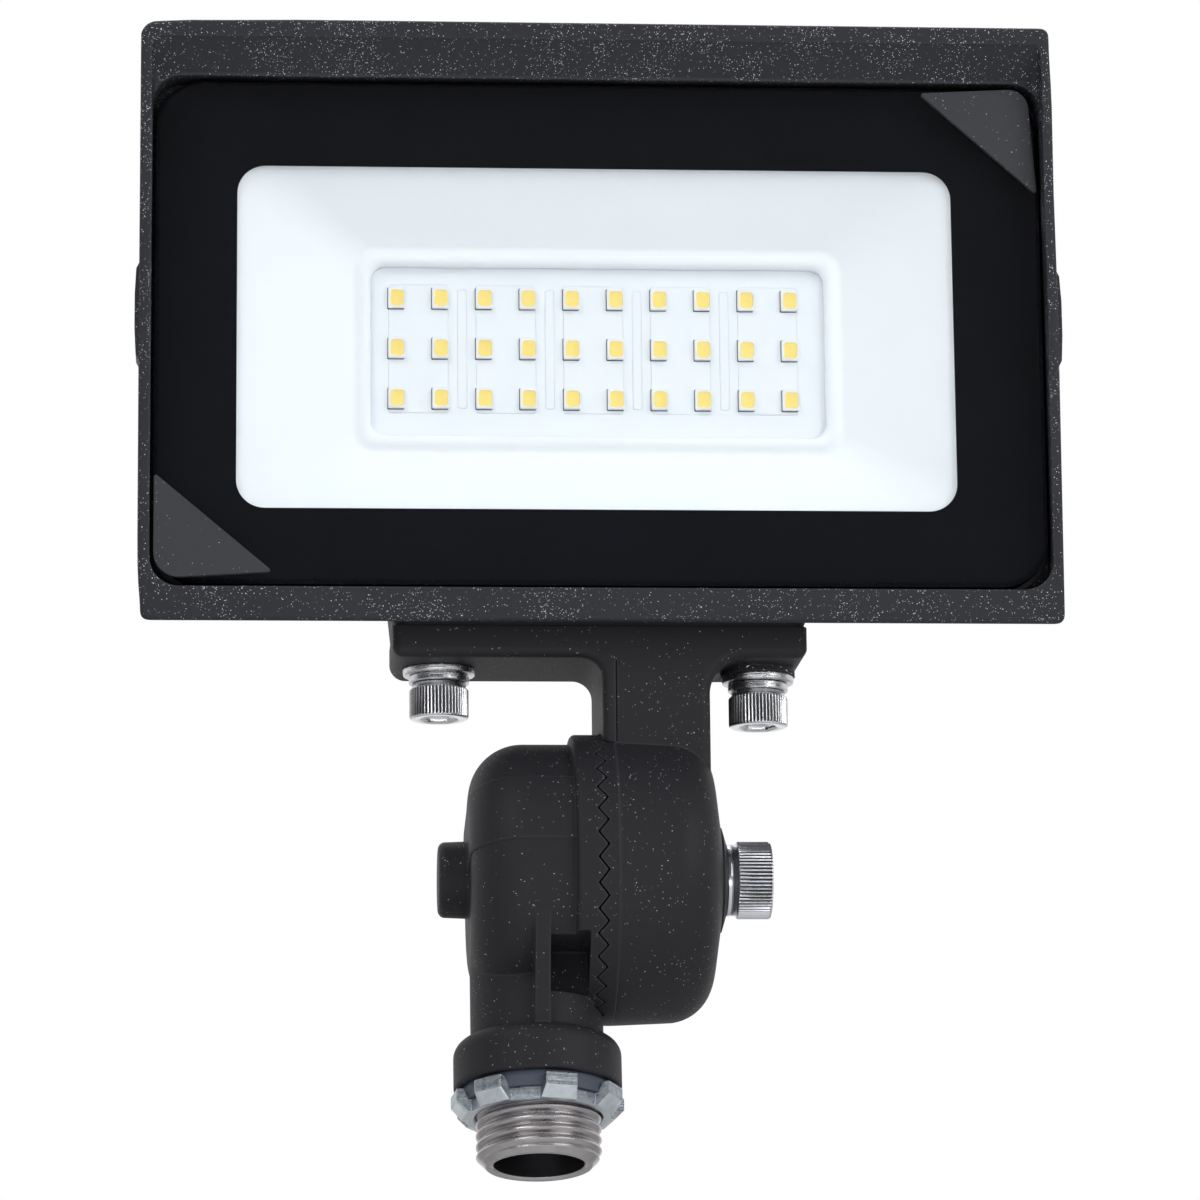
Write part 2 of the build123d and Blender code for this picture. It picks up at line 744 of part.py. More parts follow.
def make_housing():
    box = (driver_box_centre_x, driver_box_centre_z)
    body = housing_lip() + housing_back(body_back_y) + cooling_fins() + bracket_pedestal()
    body += side_pad(-1) + side_pad(1)
    body += panel(
        driver_box_width, driver_box_height, body_back_y - overcut, fin_back_y, *box, driver_box_corner_r
    )
    glass_centre = (glass_centre_x, glass_centre_z)
    body -= panel(
        glass_width + 2 * glass_side_gap,
        glass_height + 2 * glass_side_gap,
        rim_top_y - overcut,
        glass_seat_y,
        *glass_centre,
        glass_corner_r + glass_side_gap,
    )
    bevel = Polyline(
        (glass_centre_x, bevel_bottom_y, bevel_bottom_z - bevel_height / 2),
        (glass_centre_x, bevel_bottom_y, bevel_bottom_z),
        (glass_centre_x, rim_top_y - bevel_lip_y, bevel_top_z),
        (glass_centre_x, rim_top_y - overcut, bevel_bottom_z - bevel_height / 2),
        close=True,
    )
    bevel_reach = glass_width / 2 - glass_corner_r / 2
    body -= extrude(make_face(bevel), amount=bevel_reach, both=True, dir=(1, 0, 0))
    body -= panel(
        cavity_width, cavity_height, glass_seat_y - overcut, cavity_floor_y, *glass_centre, cavity_corner_r
    )
    body -= panel(
        driver_box_width - 2 * driver_box_wall,
        driver_box_height - 2 * driver_box_wall,
        body_back_y,
        fin_back_y + overcut,
        *box,
        driver_box_inner_corner_r,
    )
    for x, z in cover_screw_places():
        body += pin(cover_boss_r, body_back_y - overcut, fin_back_y, x, z)
        hole_end_y = rear_cover_back_y - cover_screw_length - blind_hole_spare
        body -= pin(cover_screw_r + fit_clearance, hole_end_y, fin_back_y + overcut, x, z)
    for x, z in driver_screw_places():
        body += pin(driver_post_r, body_back_y - overcut, driver_board_front_y, x, z)
        hole_end_y = driver_board_back_y - driver_screw_length - blind_hole_spare
        body -= pin(driver_screw_r + fit_clearance, hole_end_y, driver_board_front_y + overcut, x, z)
    for x, z in board_screw_places():
        hole_end_y = board_front_y + board_screw_length + blind_hole_spare
        body -= pin(board_screw_r + fit_clearance, cavity_floor_y - overcut, hole_end_y, x, z)
    for z in lead_heights:
        body -= pin(lead_r + lead_clearance, cavity_floor_y - overcut, body_back_y + overcut, lead_x, z)
    body -= block(
        bracket_left_x - bracket_notch,
        bracket_right_x + bracket_notch,
        -arm_depth / 2 - bracket_notch / 2,
        arm_depth,
        0,
        pedestal_bottom_z,
    )
    for x, seat_z in screw_seats:
        screw_top_z = seat_z - flat_washer_t - spring_washer_t + screw_length
        hole_r = screw_r + screw_thread_clearance
        body -= post(hole_r, pedestal_bottom_z - overcut, screw_top_z + blind_hole_spare, x)
    grommet_top_z = pedestal_bottom_z + grommet_t
    body -= post(grommet_r + fit_clearance, pedestal_bottom_z - overcut, grommet_top_z, stem_way_x)
    way_top_z = driver_box_bottom_z + driver_box_wall + overcut
    body -= post(stem_way_r, grommet_top_z - overcut, way_top_z, stem_way_x, supply_way_y)
    return body


def make_grommet():
    top = pedestal_bottom_z + grommet_t
    ring = post(grommet_r, pedestal_bottom_z, top, stem_way_x)
    return ring - post(grommet_bore_r, pedestal_bottom_z, top, stem_way_x)


def make_glass_gasket():
    centre = (glass_centre_x, glass_centre_z)
    ring = panel(glass_width, glass_height, glass_back_y, glass_seat_y, *centre, glass_corner_r)
    return ring - panel(cavity_width, cavity_height, glass_back_y, glass_seat_y, *centre, cavity_corner_r)


def make_front_glass():
    centre = (glass_centre_x, glass_centre_z)
    pane = panel(glass_width, glass_height, glass_front_y, glass_back_y, *centre, glass_corner_r)
    return chamfer(pane.edges().group_by(Axis.Y)[0], glass_chamfer)


def make_corner_clip(side):
    """A three-cornered sheet over a corner of the glass; side is 1 at the upper right."""
    corner_x = glass_centre_x + side * (glass_width / 2 + glass_side_gap - clip_side_gap)
    corner_z = glass_centre_z + side * (glass_height / 2 + glass_side_gap - clip_side_gap)
    outline = Polyline(
        (corner_x, glass_front_y, corner_z),
        (corner_x - side * clip_leg_x, glass_front_y, corner_z),
        (corner_x, glass_front_y, corner_z - side * clip_leg_z),
        close=True,
    )
    sheet = extrude(make_face(outline), amount=clip_t, dir=(0, -1, 0))
    along = sheet.edges().filter_by(Axis.Y)
    outer = along.sort_by(lambda e: abs(e.center().X - corner_x) + abs(e.center().Z - corner_z))[0]
    return fillet(outer, glass_corner_r + glass_side_gap - clip_side_gap)


def make_reflector():
    foot_y = board_front_y
    land_y = board_front_y - reflector_foot
    mouth_y = glass_back_y + reflector_glass_gap
    front = upright(mouth_y, window_centre_x, window_centre_z)
    back = upright(land_y, opening_x, opening_z)
    land_width = reflector_opening_width + 2 * reflector_land
    land_height = reflector_opening_height + 2 * reflector_land
    grow = 2 * reflector_wall
    skin = loft(
        [
            front * Rectangle(reflector_mouth_width + grow, reflector_mouth_height + grow),
            back * Rectangle(land_width + grow, land_height + grow),
        ]
    )
    light_way = loft(
        [
            front * Rectangle(reflector_mouth_width, reflector_mouth_height),
            back * Rectangle(land_width, land_height),
        ]
    )
    foot = panel(land_width + grow, land_height + grow, land_y, foot_y, opening_x, opening_z)
    rim = panel(
        reflector_mouth_width + 2 * reflector_rim,
        reflector_mouth_height + 2 * reflector_rim,
        mouth_y,
        mouth_y + reflector_wall,
        window_centre_x,
        window_centre_z,
        reflector_rim_corner_r,
    )
    dish = skin + foot + rim - light_way
    return dish - panel(
        reflector_opening_width, reflector_opening_height, mouth_y, foot_y + overcut, opening_x, opening_z
    )


def board_screw_places():
    return four_corners(window_centre_x, window_centre_z, board_screw_dx, board_screw_dz)


def make_led_board():
    centre = (window_centre_x, window_centre_z)
    board = panel(board_width, board_height, board_front_y, board_back_y, *centre, board_corner_r)
    for x, z in board_screw_places():
        board -= pin(board_screw_r + board_hole_clearance, board_front_y, board_back_y, x, z)
    for z in lead_heights:
        board -= pin(lead_r + fit_clearance, board_front_y, board_back_y, lead_x, z)
    return board


def make_thermal_pad():
    pad = panel(
        board_width - 2 * thermal_pad_inset,
        board_height - 2 * thermal_pad_inset,
        board_back_y,
        cavity_floor_y,
        window_centre_x,
        window_centre_z,
        thermal_pad_inset,
    )
    for x, z in board_screw_places():
        pad -= pin(board_screw_r + pad_hole_clearance, board_back_y, cavity_floor_y, x, z)
    for z in lead_heights:
        pad -= pin(lead_r + lead_clearance, board_back_y, cavity_floor_y, lead_x, z)
    return pad


def make_led_packages():
    leds = []
    for column in range(led_columns):
        for row in range(led_rows):
            x = led_centre_x + (column - (led_columns - 1) / 2) * led_pitch_x
            z = led_centre_z + (row - (led_rows - 1) / 2) * led_pitch_z
            leds.append(panel(led_width, led_length, led_face_y, board_front_y, x, z))
    return leds


def make_board_screws():
    screws = []
    for x, z in board_screw_places():
        head = pin(board_screw_head_r, board_front_y - board_screw_head_t, board_front_y, x, z)
        screws.append(head + pin(board_screw_r, board_front_y, board_front_y + board_screw_length, x, z))
    return screws


def driver_screw_places():
    return four_corners(driver_box_centre_x, driver_box_centre_z, driver_screw_dx, driver_screw_dz)


def make_driver_board():
    box = (driver_box_centre_x, driver_box_centre_z)
    board = panel(driver_board_width, driver_board_height, driver_board_front_y, driver_board_back_y, *box)
    for x, z in driver_screw_places():
        hole_r = driver_screw_r + board_hole_clearance
        board -= pin(hole_r, driver_board_front_y, driver_board_back_y, x, z)
    return board


def make_driver_screws():
    screws = []
    for x, z in driver_screw_places():
        head_back_y = driver_board_back_y + driver_screw_head_t
        head = pin(driver_screw_head_r, driver_board_back_y, head_back_y, x, z)
        tip_y = driver_board_back_y - driver_screw_length
        screws.append(head + pin(driver_screw_r, tip_y, driver_board_back_y, x, z))
    return screws


def on_driver_board(width, height, length, dx, lift=0.0):
    """A block standing on the driver board, dx to the right of its middle."""
    low_y = driver_board_back_y + lift
    return panel(width, length, low_y, low_y + height, driver_box_centre_x + dx, driver_box_centre_z)


def make_driver_transformer():
    core = on_driver_board(transformer_width, transformer_height, transformer_length, transformer_dx)
    winding_width = transformer_width + 2 * winding_proud
    winding_height = transformer_height - 2 * winding_inset
    winding = on_driver_board(winding_width, winding_height, winding_length, transformer_dx, winding_inset)
    return core + winding


def make_driver_capacitors():
    cans = []
    x = driver_box_centre_x + capacitor_dx
    for dz in (-capacitor_dz, capacitor_dz):
        y = driver_board_back_y + capacitor_r
        z = driver_box_centre_z + dz
        can = rod(capacitor_r, x - capacitor_length / 2, x + capacitor_length / 2, y, z)
        cans.append(fillet(can.edges().group_by(Axis.X)[0], capacitor_round))
    return cans


def make_driver_bridge():
    return on_driver_board(bridge_side, bridge_height, bridge_side, bridge_dx)


def make_led_leads():
    return [pin(lead_r, board_front_y, driver_board_front_y, lead_x, z) for z in lead_heights]


def cover_screw_places():
    return four_corners(driver_box_centre_x, driver_box_centre_z, cover_screw_dx, cover_screw_dz)


def make_rear_gasket():
    box = (driver_box_centre_x, driver_box_centre_z)
    ring = panel(driver_box_width, driver_box_height, fin_back_y, rear_cover_y, *box, driver_box_corner_r)
    return ring - panel(
        driver_box_width - 2 * rear_gasket_width,
        driver_box_height - 2 * rear_gasket_width,
        fin_back_y,
        rear_cover_y,
        *box,
        rear_gasket_inner_corner_r,
    )


def make_rear_cover():
    box = (driver_box_centre_x, driver_box_centre_z)
    cover = panel(
        driver_box_width, driver_box_height, rear_cover_y, rear_cover_back_y, *box, driver_box_corner_r
    )
    cover = fillet(cover.edges().group_by(Axis.Y)[-1], rear_cover_round)
    for x, z in cover_screw_places():
        cover -= pin(cover_screw_r + cover_hole_clearance, rear_cover_y, rear_cover_back_y, x, z)
    return cover


def make_rear_cover_screws():
    screws = []
    for x, z in cover_screw_places():
        head = pin(cover_screw_head_r, rear_cover_back_y, rear_cover_back_y + cover_screw_head_t, x, z)
        head = fillet(head.edges().group_by(Axis.Y)[-1], cover_screw_head_round)
        tip_y = rear_cover_back_y - cover_screw_length
        screws.append(head + pin(cover_screw_r, tip_y, rear_cover_back_y, x, z))
    return screws


def tipped(shape):
    """Head pieces turn face down round the pivot axis and rise to it."""
    return Pos(0, 0, pivot_z) * Rot(head_tilt, 0, 0) * shape


def write(name, shape):
    export_step(shape, os.path.join("parts", name + ".step"))


os.makedirs("parts", exist_ok=True)

fixed_pieces = {
    "lower_arm": make_lower_arm(),
    "threaded_nipple": make_threaded_nipple(),
    "collar_gasket": make_collar_gasket(),
    "locknut": make_locknut(),
    "knuckle_tooth_ring": make_tooth_ring(),
    "knuckle_seal": make_knuckle_seal(),
    "pivot_bolt": make_pivot_bolt(),
    "pivot_seal_washer": make_pivot_seal_washer(),
    "pivot_spring_washer": make_pivot_spring_washer(),
}

head_pieces = {
    "upper_arm": make_upper_arm(),
    "bracket_gasket": make_bracket_gasket(),
    "bracket_flat_washers": [make_bracket_flat_washer(x, z) for x, z in screw_seats],
    "bracket_spring_washers": [make_bracket_spring_washer(x, z) for x, z in screw_seats],
    "bracket_screws": [make_bracket_screw(x, z) for x, z in screw_seats],
    "housing": make_housing(),
    "wire_grommet": make_grommet(),
    "glass_gasket": make_glass_gasket(),
    "front_glass": make_front_glass(),
    "corner_clip_upper": make_corner_clip(1),
    "corner_clip_lower": make_corner_clip(-1),
    "reflector": make_reflector(),
    "led_board": make_led_board(),
    "thermal_pad": make_thermal_pad(),
    "led_packages": make_led_packages(),
    "led_board_screws": make_board_screws(),
    "led_leads": make_led_leads(),
    "driver_board": make_driver_board(),
    "driver_board_screws": make_driver_screws(),
    "driver_transformer": make_driver_transformer(),
    "driver_capacitors": make_driver_capacitors(),
    "driver_bridge": make_driver_bridge(),
    "rear_cover_gasket": make_rear_gasket(),
    "rear_cover": make_rear_cover(),
    "rear_cover_screws": make_rear_cover_screws(),
}

for name, piece in fixed_pieces.items():
    write(name, piece)

for name, piece in head_pieces.items():
    group = piece if isinstance(piece, list) else [piece]
    write(name, Compound([tipped(solid) for member in group for solid in member.solids()]))
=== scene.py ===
import json
import math

import bmesh
import bpy
from mathutils import Matrix, Vector, noise as fractal


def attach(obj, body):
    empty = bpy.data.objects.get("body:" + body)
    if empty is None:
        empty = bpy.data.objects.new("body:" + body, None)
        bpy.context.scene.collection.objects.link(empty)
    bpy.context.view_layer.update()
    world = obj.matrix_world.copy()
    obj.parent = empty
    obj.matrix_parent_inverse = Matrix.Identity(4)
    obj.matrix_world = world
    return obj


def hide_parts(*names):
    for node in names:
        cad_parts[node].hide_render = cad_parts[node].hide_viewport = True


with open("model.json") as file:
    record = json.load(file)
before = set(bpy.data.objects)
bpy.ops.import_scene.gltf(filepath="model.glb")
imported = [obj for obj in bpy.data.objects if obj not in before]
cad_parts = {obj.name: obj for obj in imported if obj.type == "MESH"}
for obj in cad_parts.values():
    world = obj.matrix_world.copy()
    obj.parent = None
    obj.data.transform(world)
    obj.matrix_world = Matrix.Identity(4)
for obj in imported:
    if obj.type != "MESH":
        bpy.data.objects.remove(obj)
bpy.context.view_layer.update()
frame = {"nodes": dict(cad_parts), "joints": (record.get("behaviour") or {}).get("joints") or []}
nodes = frame["nodes"]
scene = bpy.context.scene

# Shapes are drawn in millimetres. Head pieces are drawn upright round the knuckle's pivot.
mm = 0.001
headTilt = 10.0
pivotHeight = [j for j in frame["joints"] if j["name"] == "head_tilt"][0]["pos_m"][2]
inRow = Matrix.Scale(mm, 4)
atPivot = Matrix.Translation((0, 0, pivotHeight)) @ inRow
inHead = Matrix.Translation((0, 0, pivotHeight)) @ Matrix.Rotation(math.radians(headTilt), 4, "X") @ inRow


# Camera and studio

cameraView = {
    "place": (-0.0488, -0.8395, -0.2441),
    "along": (0.0670, 0.9230, 0.3791),
    "up": (-0.00468, -0.37962, 0.92514),
    "lens": 159.0,
}


def makeCamera(view):
    data = bpy.data.cameras.new("photoCamera")
    data.lens = view["lens"]
    data.sensor_width = 36.0
    data.clip_start = 0.05
    camera = bpy.data.objects.new("photoCamera", data)
    scene.collection.objects.link(camera)
    along = Vector(view["along"]).normalized()
    right = along.cross(Vector(view["up"])).normalized()
    up = right.cross(along)
    turn = Matrix((right, up, -along)).transposed()
    camera.matrix_world = Matrix.Translation(view["place"]) @ turn.to_4x4()
    scene.camera = camera


studio = {
    "floorHeight": -0.42,
    "floorSize": 6.0,
    "floorColour": (0.82, 0.82, 0.82, 1),
    "frontGrey": 0.10,   # what gloss sees in front of the object
    "behindWhite": 1.0,  # what gloss sees behind it
    "ambient": 0.34,
    "turnover": 0.35,    # how far either side of the object the backdrop turns from grey to white
    "boxes": [
        # name, place, aim, width, height, power
        ("keyBox", (-0.60, -0.90, 0.85), (0.0, 0.0, 0.09), 0.60, 0.60, 5.4),
        ("fillBox", (0.85, -0.70, 0.35), (0.0, 0.0, 0.08), 0.50, 0.70, 3.6),
        ("lowBox", (-0.15, -0.75, -0.40), (0.0, 0.0, 0.05), 0.80, 0.30, 2.2),
        ("topBox", (0.0, 0.15, 1.0), (0.0, 0.0, 0.1), 0.80, 0.50, 3.0),
        ("stripBox", (0.56, -0.86, 0.16), (0.0, 0.0, 0.05), 0.10, 0.50, 1.3),
    ],
}


def makeStudio(look):
    floorMesh = bpy.data.meshes.new("studioFloor")
    half = look["floorSize"] / 2
    corners = [(-half, -half, 0), (half, -half, 0), (half, half, 0), (-half, half, 0)]
    floorMesh.from_pydata(corners, [], [(0, 1, 2, 3)])
    floor = bpy.data.objects.new("studioFloor", floorMesh)
    floor.location.z = look["floorHeight"]
    scene.collection.objects.link(floor)
    paper, tree, paint = newMaterial("floorPaper")
    paint.inputs["Base Color"].default_value = look["floorColour"]
    paint.inputs["Roughness"].default_value = 0.8
    floorMesh.materials.append(paper)

    for name, place, aim, width, height, power in look["boxes"]:
        light = bpy.data.lights.new(name, "AREA")
        light.shape = "RECTANGLE"
        light.size, light.size_y, light.energy = width, height, power
        box = bpy.data.objects.new(name, light)
        box.location = place
        box.rotation_euler = (Vector(aim) - Vector(place)).to_track_quat("-Z", "Y").to_euler()
        scene.collection.objects.link(box)

    world = bpy.data.worlds.new("studioWorld")
    scene.world = world
    world.use_nodes = True
    tree = world.node_tree
    tree.nodes.clear()
    output = tree.nodes.new("ShaderNodeOutputWorld")
    shine = tree.nodes.new("ShaderNodeBackground")    # the backdrop as camera, metal and glass see it
    soft = tree.nodes.new("ShaderNodeBackground")     # what lights the object all round
    pick = tree.nodes.new("ShaderNodeMixShader")
    path = tree.nodes.new("ShaderNodeLightPath").outputs
    where = tree.nodes.new("ShaderNodeTexCoord")
    axes = tree.nodes.new("ShaderNodeSeparateXYZ")
    tree.links.new(where.outputs["Generated"], axes.inputs["Vector"])
    far = look["turnover"]
    backdrop = smoothRange(tree, axes.outputs["Y"], -far, far, look["frontGrey"], look["behindWhite"])
    soft.inputs["Strength"].default_value = look["ambient"]
    for sky in (shine, soft):
        sky.inputs["Color"].default_value = (1, 1, 1, 1)
    tree.links.new(maths(tree, "MAXIMUM", backdrop, path["Is Camera Ray"]), shine.inputs["Strength"])
    gloss = maths(tree, "MAXIMUM", path["Is Glossy Ray"], path["Is Transmission Ray"])
    tree.links.new(maths(tree, "MAXIMUM", gloss, path["Is Camera Ray"]), pick.inputs["Fac"])
    tree.links.new(soft.outputs["Background"], pick.inputs[1])
    tree.links.new(shine.outputs["Background"], pick.inputs[2])
    tree.links.new(pick.outputs["Shader"], output.inputs["Surface"])


# Shader helpers

def newMaterial(name):
    made = bpy.data.materials.new(name)
    made.use_nodes = True
    tree = made.node_tree
    return made, tree, tree.nodes["Principled BSDF"]


def newGroup(name, inputs, outputs):
    group = bpy.data.node_groups.new(name, "ShaderNodeTree")
    for label, value in inputs.items():
        kind = "NodeSocketVector" if isinstance(value, tuple) else "NodeSocketFloat"
        group.interface.new_socket(label, in_out="INPUT", socket_type=kind).default_value = value
    for label in outputs:
        kind = "NodeSocketVector" if label == "Normal" else "NodeSocketFloat"
        group.interface.new_socket(label, in_out="OUTPUT", socket_type=kind)
    entry = group.nodes.new("NodeGroupInput").outputs
    leave = group.nodes.new("NodeGroupOutput").inputs
    return group, entry, leave


def place(tree, group, values):
    node = tree.nodes.new("ShaderNodeGroup")
    node.node_tree = group
    for label, value in values.items():
        node.inputs[label].default_value = value
    return node


def maths(tree, operation, first, second=None):
    node = tree.nodes.new("ShaderNodeMath")
    node.operation = operation
    for index, value in enumerate((first, second)):
        if isinstance(value, (int, float)):
            node.inputs[index].default_value = value
        elif value is not None:
            tree.links.new(value, node.inputs[index])
    return node.outputs["Value"]


def mixColour(tree, factor, first, second):
    node = tree.nodes.new("ShaderNodeMix")
    node.data_type = "RGBA"
    tree.links.new(factor, node.inputs[0])
    for index, colour in ((6, first), (7, second)):
        if isinstance(colour, tuple):
            node.inputs[index].default_value = (*colour, 1)
        else:
            tree.links.new(colour, node.inputs[index])
    return node.outputs[2]


def smoothRange(tree, value, *bounds):
    node = tree.nodes.new("ShaderNodeMapRange")
    node.interpolation_type = "SMOOTHSTEP"
    for socket, bound in zip(("From Min", "From Max", "To Min", "To Max"), bounds):
        node.inputs[socket].default_value = bound
    tree.links.new(value, node.inputs["Value"])
    return node.outputs["Result"]


def objectPlace(tree):
    return tree.nodes.new("ShaderNodeTexCoord").outputs["Object"]


def noiseField(tree, where, scale, detail):
    node = tree.nodes.new("ShaderNodeTexNoise")
    node.inputs["Detail"].default_value = detail
    tree.links.new(where, node.inputs["Vector"])
    tree.links.new(scale, node.inputs["Scale"])
    return node.outputs["Fac"]


def bump(tree, height, strength, distance, normal):
    node = tree.nodes.new("ShaderNodeBump")
    node.inputs["Strength"].default_value = strength
    node.inputs["Distance"].default_value = distance
    tree.links.new(height, node.inputs["Height"])
    tree.links.new(normal, node.inputs["Normal"])
    return node.outputs["Normal"]


# Flecks in the powder coat: small grains drawn bright as painted glints, denser in drifts
def makeFleckGroup():
    group, entry, leave = newGroup(
        "paintFleckGlints",
        {"Grains Per Metre": 3000.0, "Grain Size": 0.2, "Share": 0.1, "Drifts Per Metre": 45.0},
        ["Mask"],
    )
    where = objectPlace(group)
    cells = group.nodes.new("ShaderNodeTexVoronoi")
    group.links.new(where, cells.inputs["Vector"])
    group.links.new(entry["Grains Per Metre"], cells.inputs["Scale"])
    chance = group.nodes.new("ShaderNodeSeparateColor")
    group.links.new(cells.outputs["Color"], chance.inputs["Color"])
    cloud = noiseField(group, where, entry["Drifts Per Metre"], 2.0)
    drift = smoothRange(group, cloud, 0.44, 0.66, 0.25, 1.0)
    share = maths(group, "MULTIPLY", entry["Share"], drift)
    chosen = maths(group, "LESS_THAN", chance.outputs["Red"], share)
    spread = maths(group, "ADD", chance.outputs["Green"], 0.6)
    reach = maths(group, "MULTIPLY", entry["Grain Size"], spread)
    inside = maths(group, "LESS_THAN", cells.outputs["Distance"], reach)
    bright = maths(group, "ADD", maths(group, "POWER", chance.outputs["Blue"], 1.3), 0.38)
    grains = maths(group, "MULTIPLY", chosen, inside)
    group.links.new(maths(group, "MULTIPLY", grains, bright), leave["Mask"])
    return group


# Fine uneven skin of a cast, moulded or plated surface
def makeGrainGroup():
    group, entry, leave = newGroup(
        "surfaceGrain",
        {"Grain Per Metre": 1600.0, "Patch Per Metre": 60.0},
        ["Height", "Patches"],
    )
    where = objectPlace(group)
    for label, rate, detail in (("Height", "Grain Per Metre", 4.0), ("Patches", "Patch Per Metre", 3.0)):
        group.links.new(noiseField(group, where, entry[rate], detail), leave[label])
    return group


# Rounded edges with a mask that lightens them, part wear and part painted highlight, and painted shade in the
# hollows between faces that stand close together
def makeEdgeGroup():
    group, entry, leave = newGroup(
        "softEdges",
        {"Width": 0.0005, "Sharpness": 5.0, "Reach": 0.002},
        ["Edge", "Painted Shade", "Normal"],
    )
    rounded = group.nodes.new("ShaderNodeBevel")
    rounded.samples = 4
    group.links.new(entry["Width"], rounded.inputs["Radius"])
    plain = group.nodes.new("ShaderNodeNewGeometry")
    match = group.nodes.new("ShaderNodeVectorMath")
    match.operation = "DOT_PRODUCT"
    group.links.new(rounded.outputs["Normal"], match.inputs[0])
    group.links.new(plain.outputs["Normal"], match.inputs[1])
    # Edge mask: the finishes lighten edges with it, part wear and part painted highlight
    turned = maths(group, "SUBTRACT", 1.0, match.outputs["Value"])
    edge = maths(group, "MINIMUM", maths(group, "MULTIPLY", turned, entry["Sharpness"]), 1.0)
    group.links.new(edge, leave["Edge"])
    # Painted shade: the colour darkens where faces stand close together
    nearby = group.nodes.new("ShaderNodeAmbientOcclusion")
    nearby.samples = 6
    group.links.new(entry["Reach"], nearby.inputs["Distance"])
    openness = maths(group, "MINIMUM", maths(group, "MULTIPLY", nearby.outputs["AO"], 1.5), 1.0)
    group.links.new(maths(group, "SUBTRACT", 1.0, openness), leave["Painted Shade"])
    group.links.new(rounded.outputs["Normal"], leave["Normal"])
    return group


# Fine tool marks along one direction
def makeToolMarkGroup():
    group, entry, leave = newGroup(
        "toolMarks",
        {"Along": (0.0, 0.0, 1.0), "Marks Per Metre": 6000.0},
        ["Height", "Streaks"],
    )
    where = objectPlace(group)
    height = group.nodes.new("ShaderNodeVectorMath")
    height.operation = "DOT_PRODUCT"
    group.links.new(where, height.inputs[0])
    group.links.new(entry["Along"], height.inputs[1])
    for label, share in (("Height", 1.0), ("Streaks", 0.23)):
        lines = group.nodes.new("ShaderNodeTexNoise")
        lines.noise_dimensions = "1D"
        lines.inputs["Detail"].default_value = 3.0
        lines.inputs["Scale"].default_value = 1.0
        steps = maths(group, "MULTIPLY", entry["Marks Per Metre"], share)
        group.links.new(maths(group, "MULTIPLY", height.outputs["Value"], steps), lines.inputs["W"])
        group.links.new(lines.outputs["Fac"], leave[label])
    return group


fleckGroup = makeFleckGroup()
grainGroup = makeGrainGroup()
edgeGroup = makeEdgeGroup()
toolMarkGroup = makeToolMarkGroup()
print("shader groups made")


# Finishes

def startFinish(name, look):
    made, tree, shader = newMaterial(name)
    grain = place(tree, grainGroup, {"Grain Per Metre": look["grain"], "Patch Per Metre": look["patch"]})
    edge = place(tree, edgeGroup, {"Width": look["edgeWidth"]})
    return made, tree, shader, grain.outputs, edge.outputs


def scaled(tree, value, share):
    return maths(tree, "MULTIPLY", value, share)


def endFinish(tree, shader, look, colour, rough, height, normal):
    tree.links.new(colour, shader.inputs["Base Color"])
    roughness = maths(tree, "ADD", scaled(tree, rough, look["roughSpread"]), look["roughBase"])
    tree.links.new(roughness, shader.inputs["Roughness"])
    tree.links.new(bump(tree, height, look["bump"], look["bumpDepth"], normal), shader.inputs["Normal"])


def paintedCasting(name, look):
    made, tree, paint, grain, edge = startFinish(name, look)
    flecks = place(tree, fleckGroup, {
        "Grains Per Metre": look["fleckRate"], "Grain Size": look["fleckSize"],
        "Share": look["fleckShare"], "Drifts Per Metre": look["drifts"],
    })
    sand = maths(tree, "ADD", scaled(tree, grain["Patches"], 0.4), scaled(tree, grain["Height"], 0.6))
    body = mixColour(tree, sand, look["dark"], look["light"])
    # Edges lightened: part wear, part painted highlight
    wornAndLit = mixColour(tree, scaled(tree, edge["Edge"], look["edgeWearAndHighlight"]), body, look["edgeWearAndHighlightColour"])
    # Flecks drawn bright: painted glints of the coat's flakes
    speckled = mixColour(tree, flecks.outputs["Mask"], wornAndLit, look["fleckGlintColour"])
    # Painted shade in the hollows between close faces
    shade = scaled(tree, edge["Painted Shade"], look["creviceShade"])
    shaded = mixColour(tree, shade, speckled, look["creviceShadeColour"])
    paint.inputs["Specular IOR Level"].default_value = look["specular"]
    endFinish(tree, paint, look, shaded, grain["Height"], grain["Height"], edge["Normal"])
    return made


def metalFinish(name, look):
    made, tree, metal, grain, edge = startFinish(name, look)
    marks = place(tree, toolMarkGroup, {"Along": look["marksAlong"], "Marks Per Metre": look["marks"]}).outputs
    body = mixColour(tree, grain["Patches"], look["dark"], look["light"])
    streaked = mixColour(tree, scaled(tree, marks["Streaks"], look["streak"]), body, look["streakColour"])
    # Edges lightened: part wear, part painted highlight
    wornAndLit = mixColour(tree, scaled(tree, edge["Edge"], look["edgeWearAndHighlight"]), streaked, look["edgeWearAndHighlightColour"])
    metal.inputs["Metallic"].default_value = 1.0
    mixed = maths(tree, "ADD", marks["Height"], scaled(tree, grain["Height"], 0.5))
    endFinish(tree, metal, look, wornAndLit, grain["Patches"], mixed, edge["Normal"])
    return made


def softFinish(name, look):
    made, tree, skin, grain, edge = startFinish(name, look)
    body = mixColour(tree, grain["Patches"], look["dark"], look["light"])
    # Edges lightened: part wear, part painted highlight
    wornAndLit = mixColour(tree, scaled(tree, edge["Edge"], look["edgeWearAndHighlight"]), body, look["edgeWearAndHighlightColour"])
    skin.inputs["Specular IOR Level"].default_value = look["specular"]
    endFinish(tree, skin, look, wornAndLit, grain["Height"], grain["Height"], edge["Normal"])
    return made


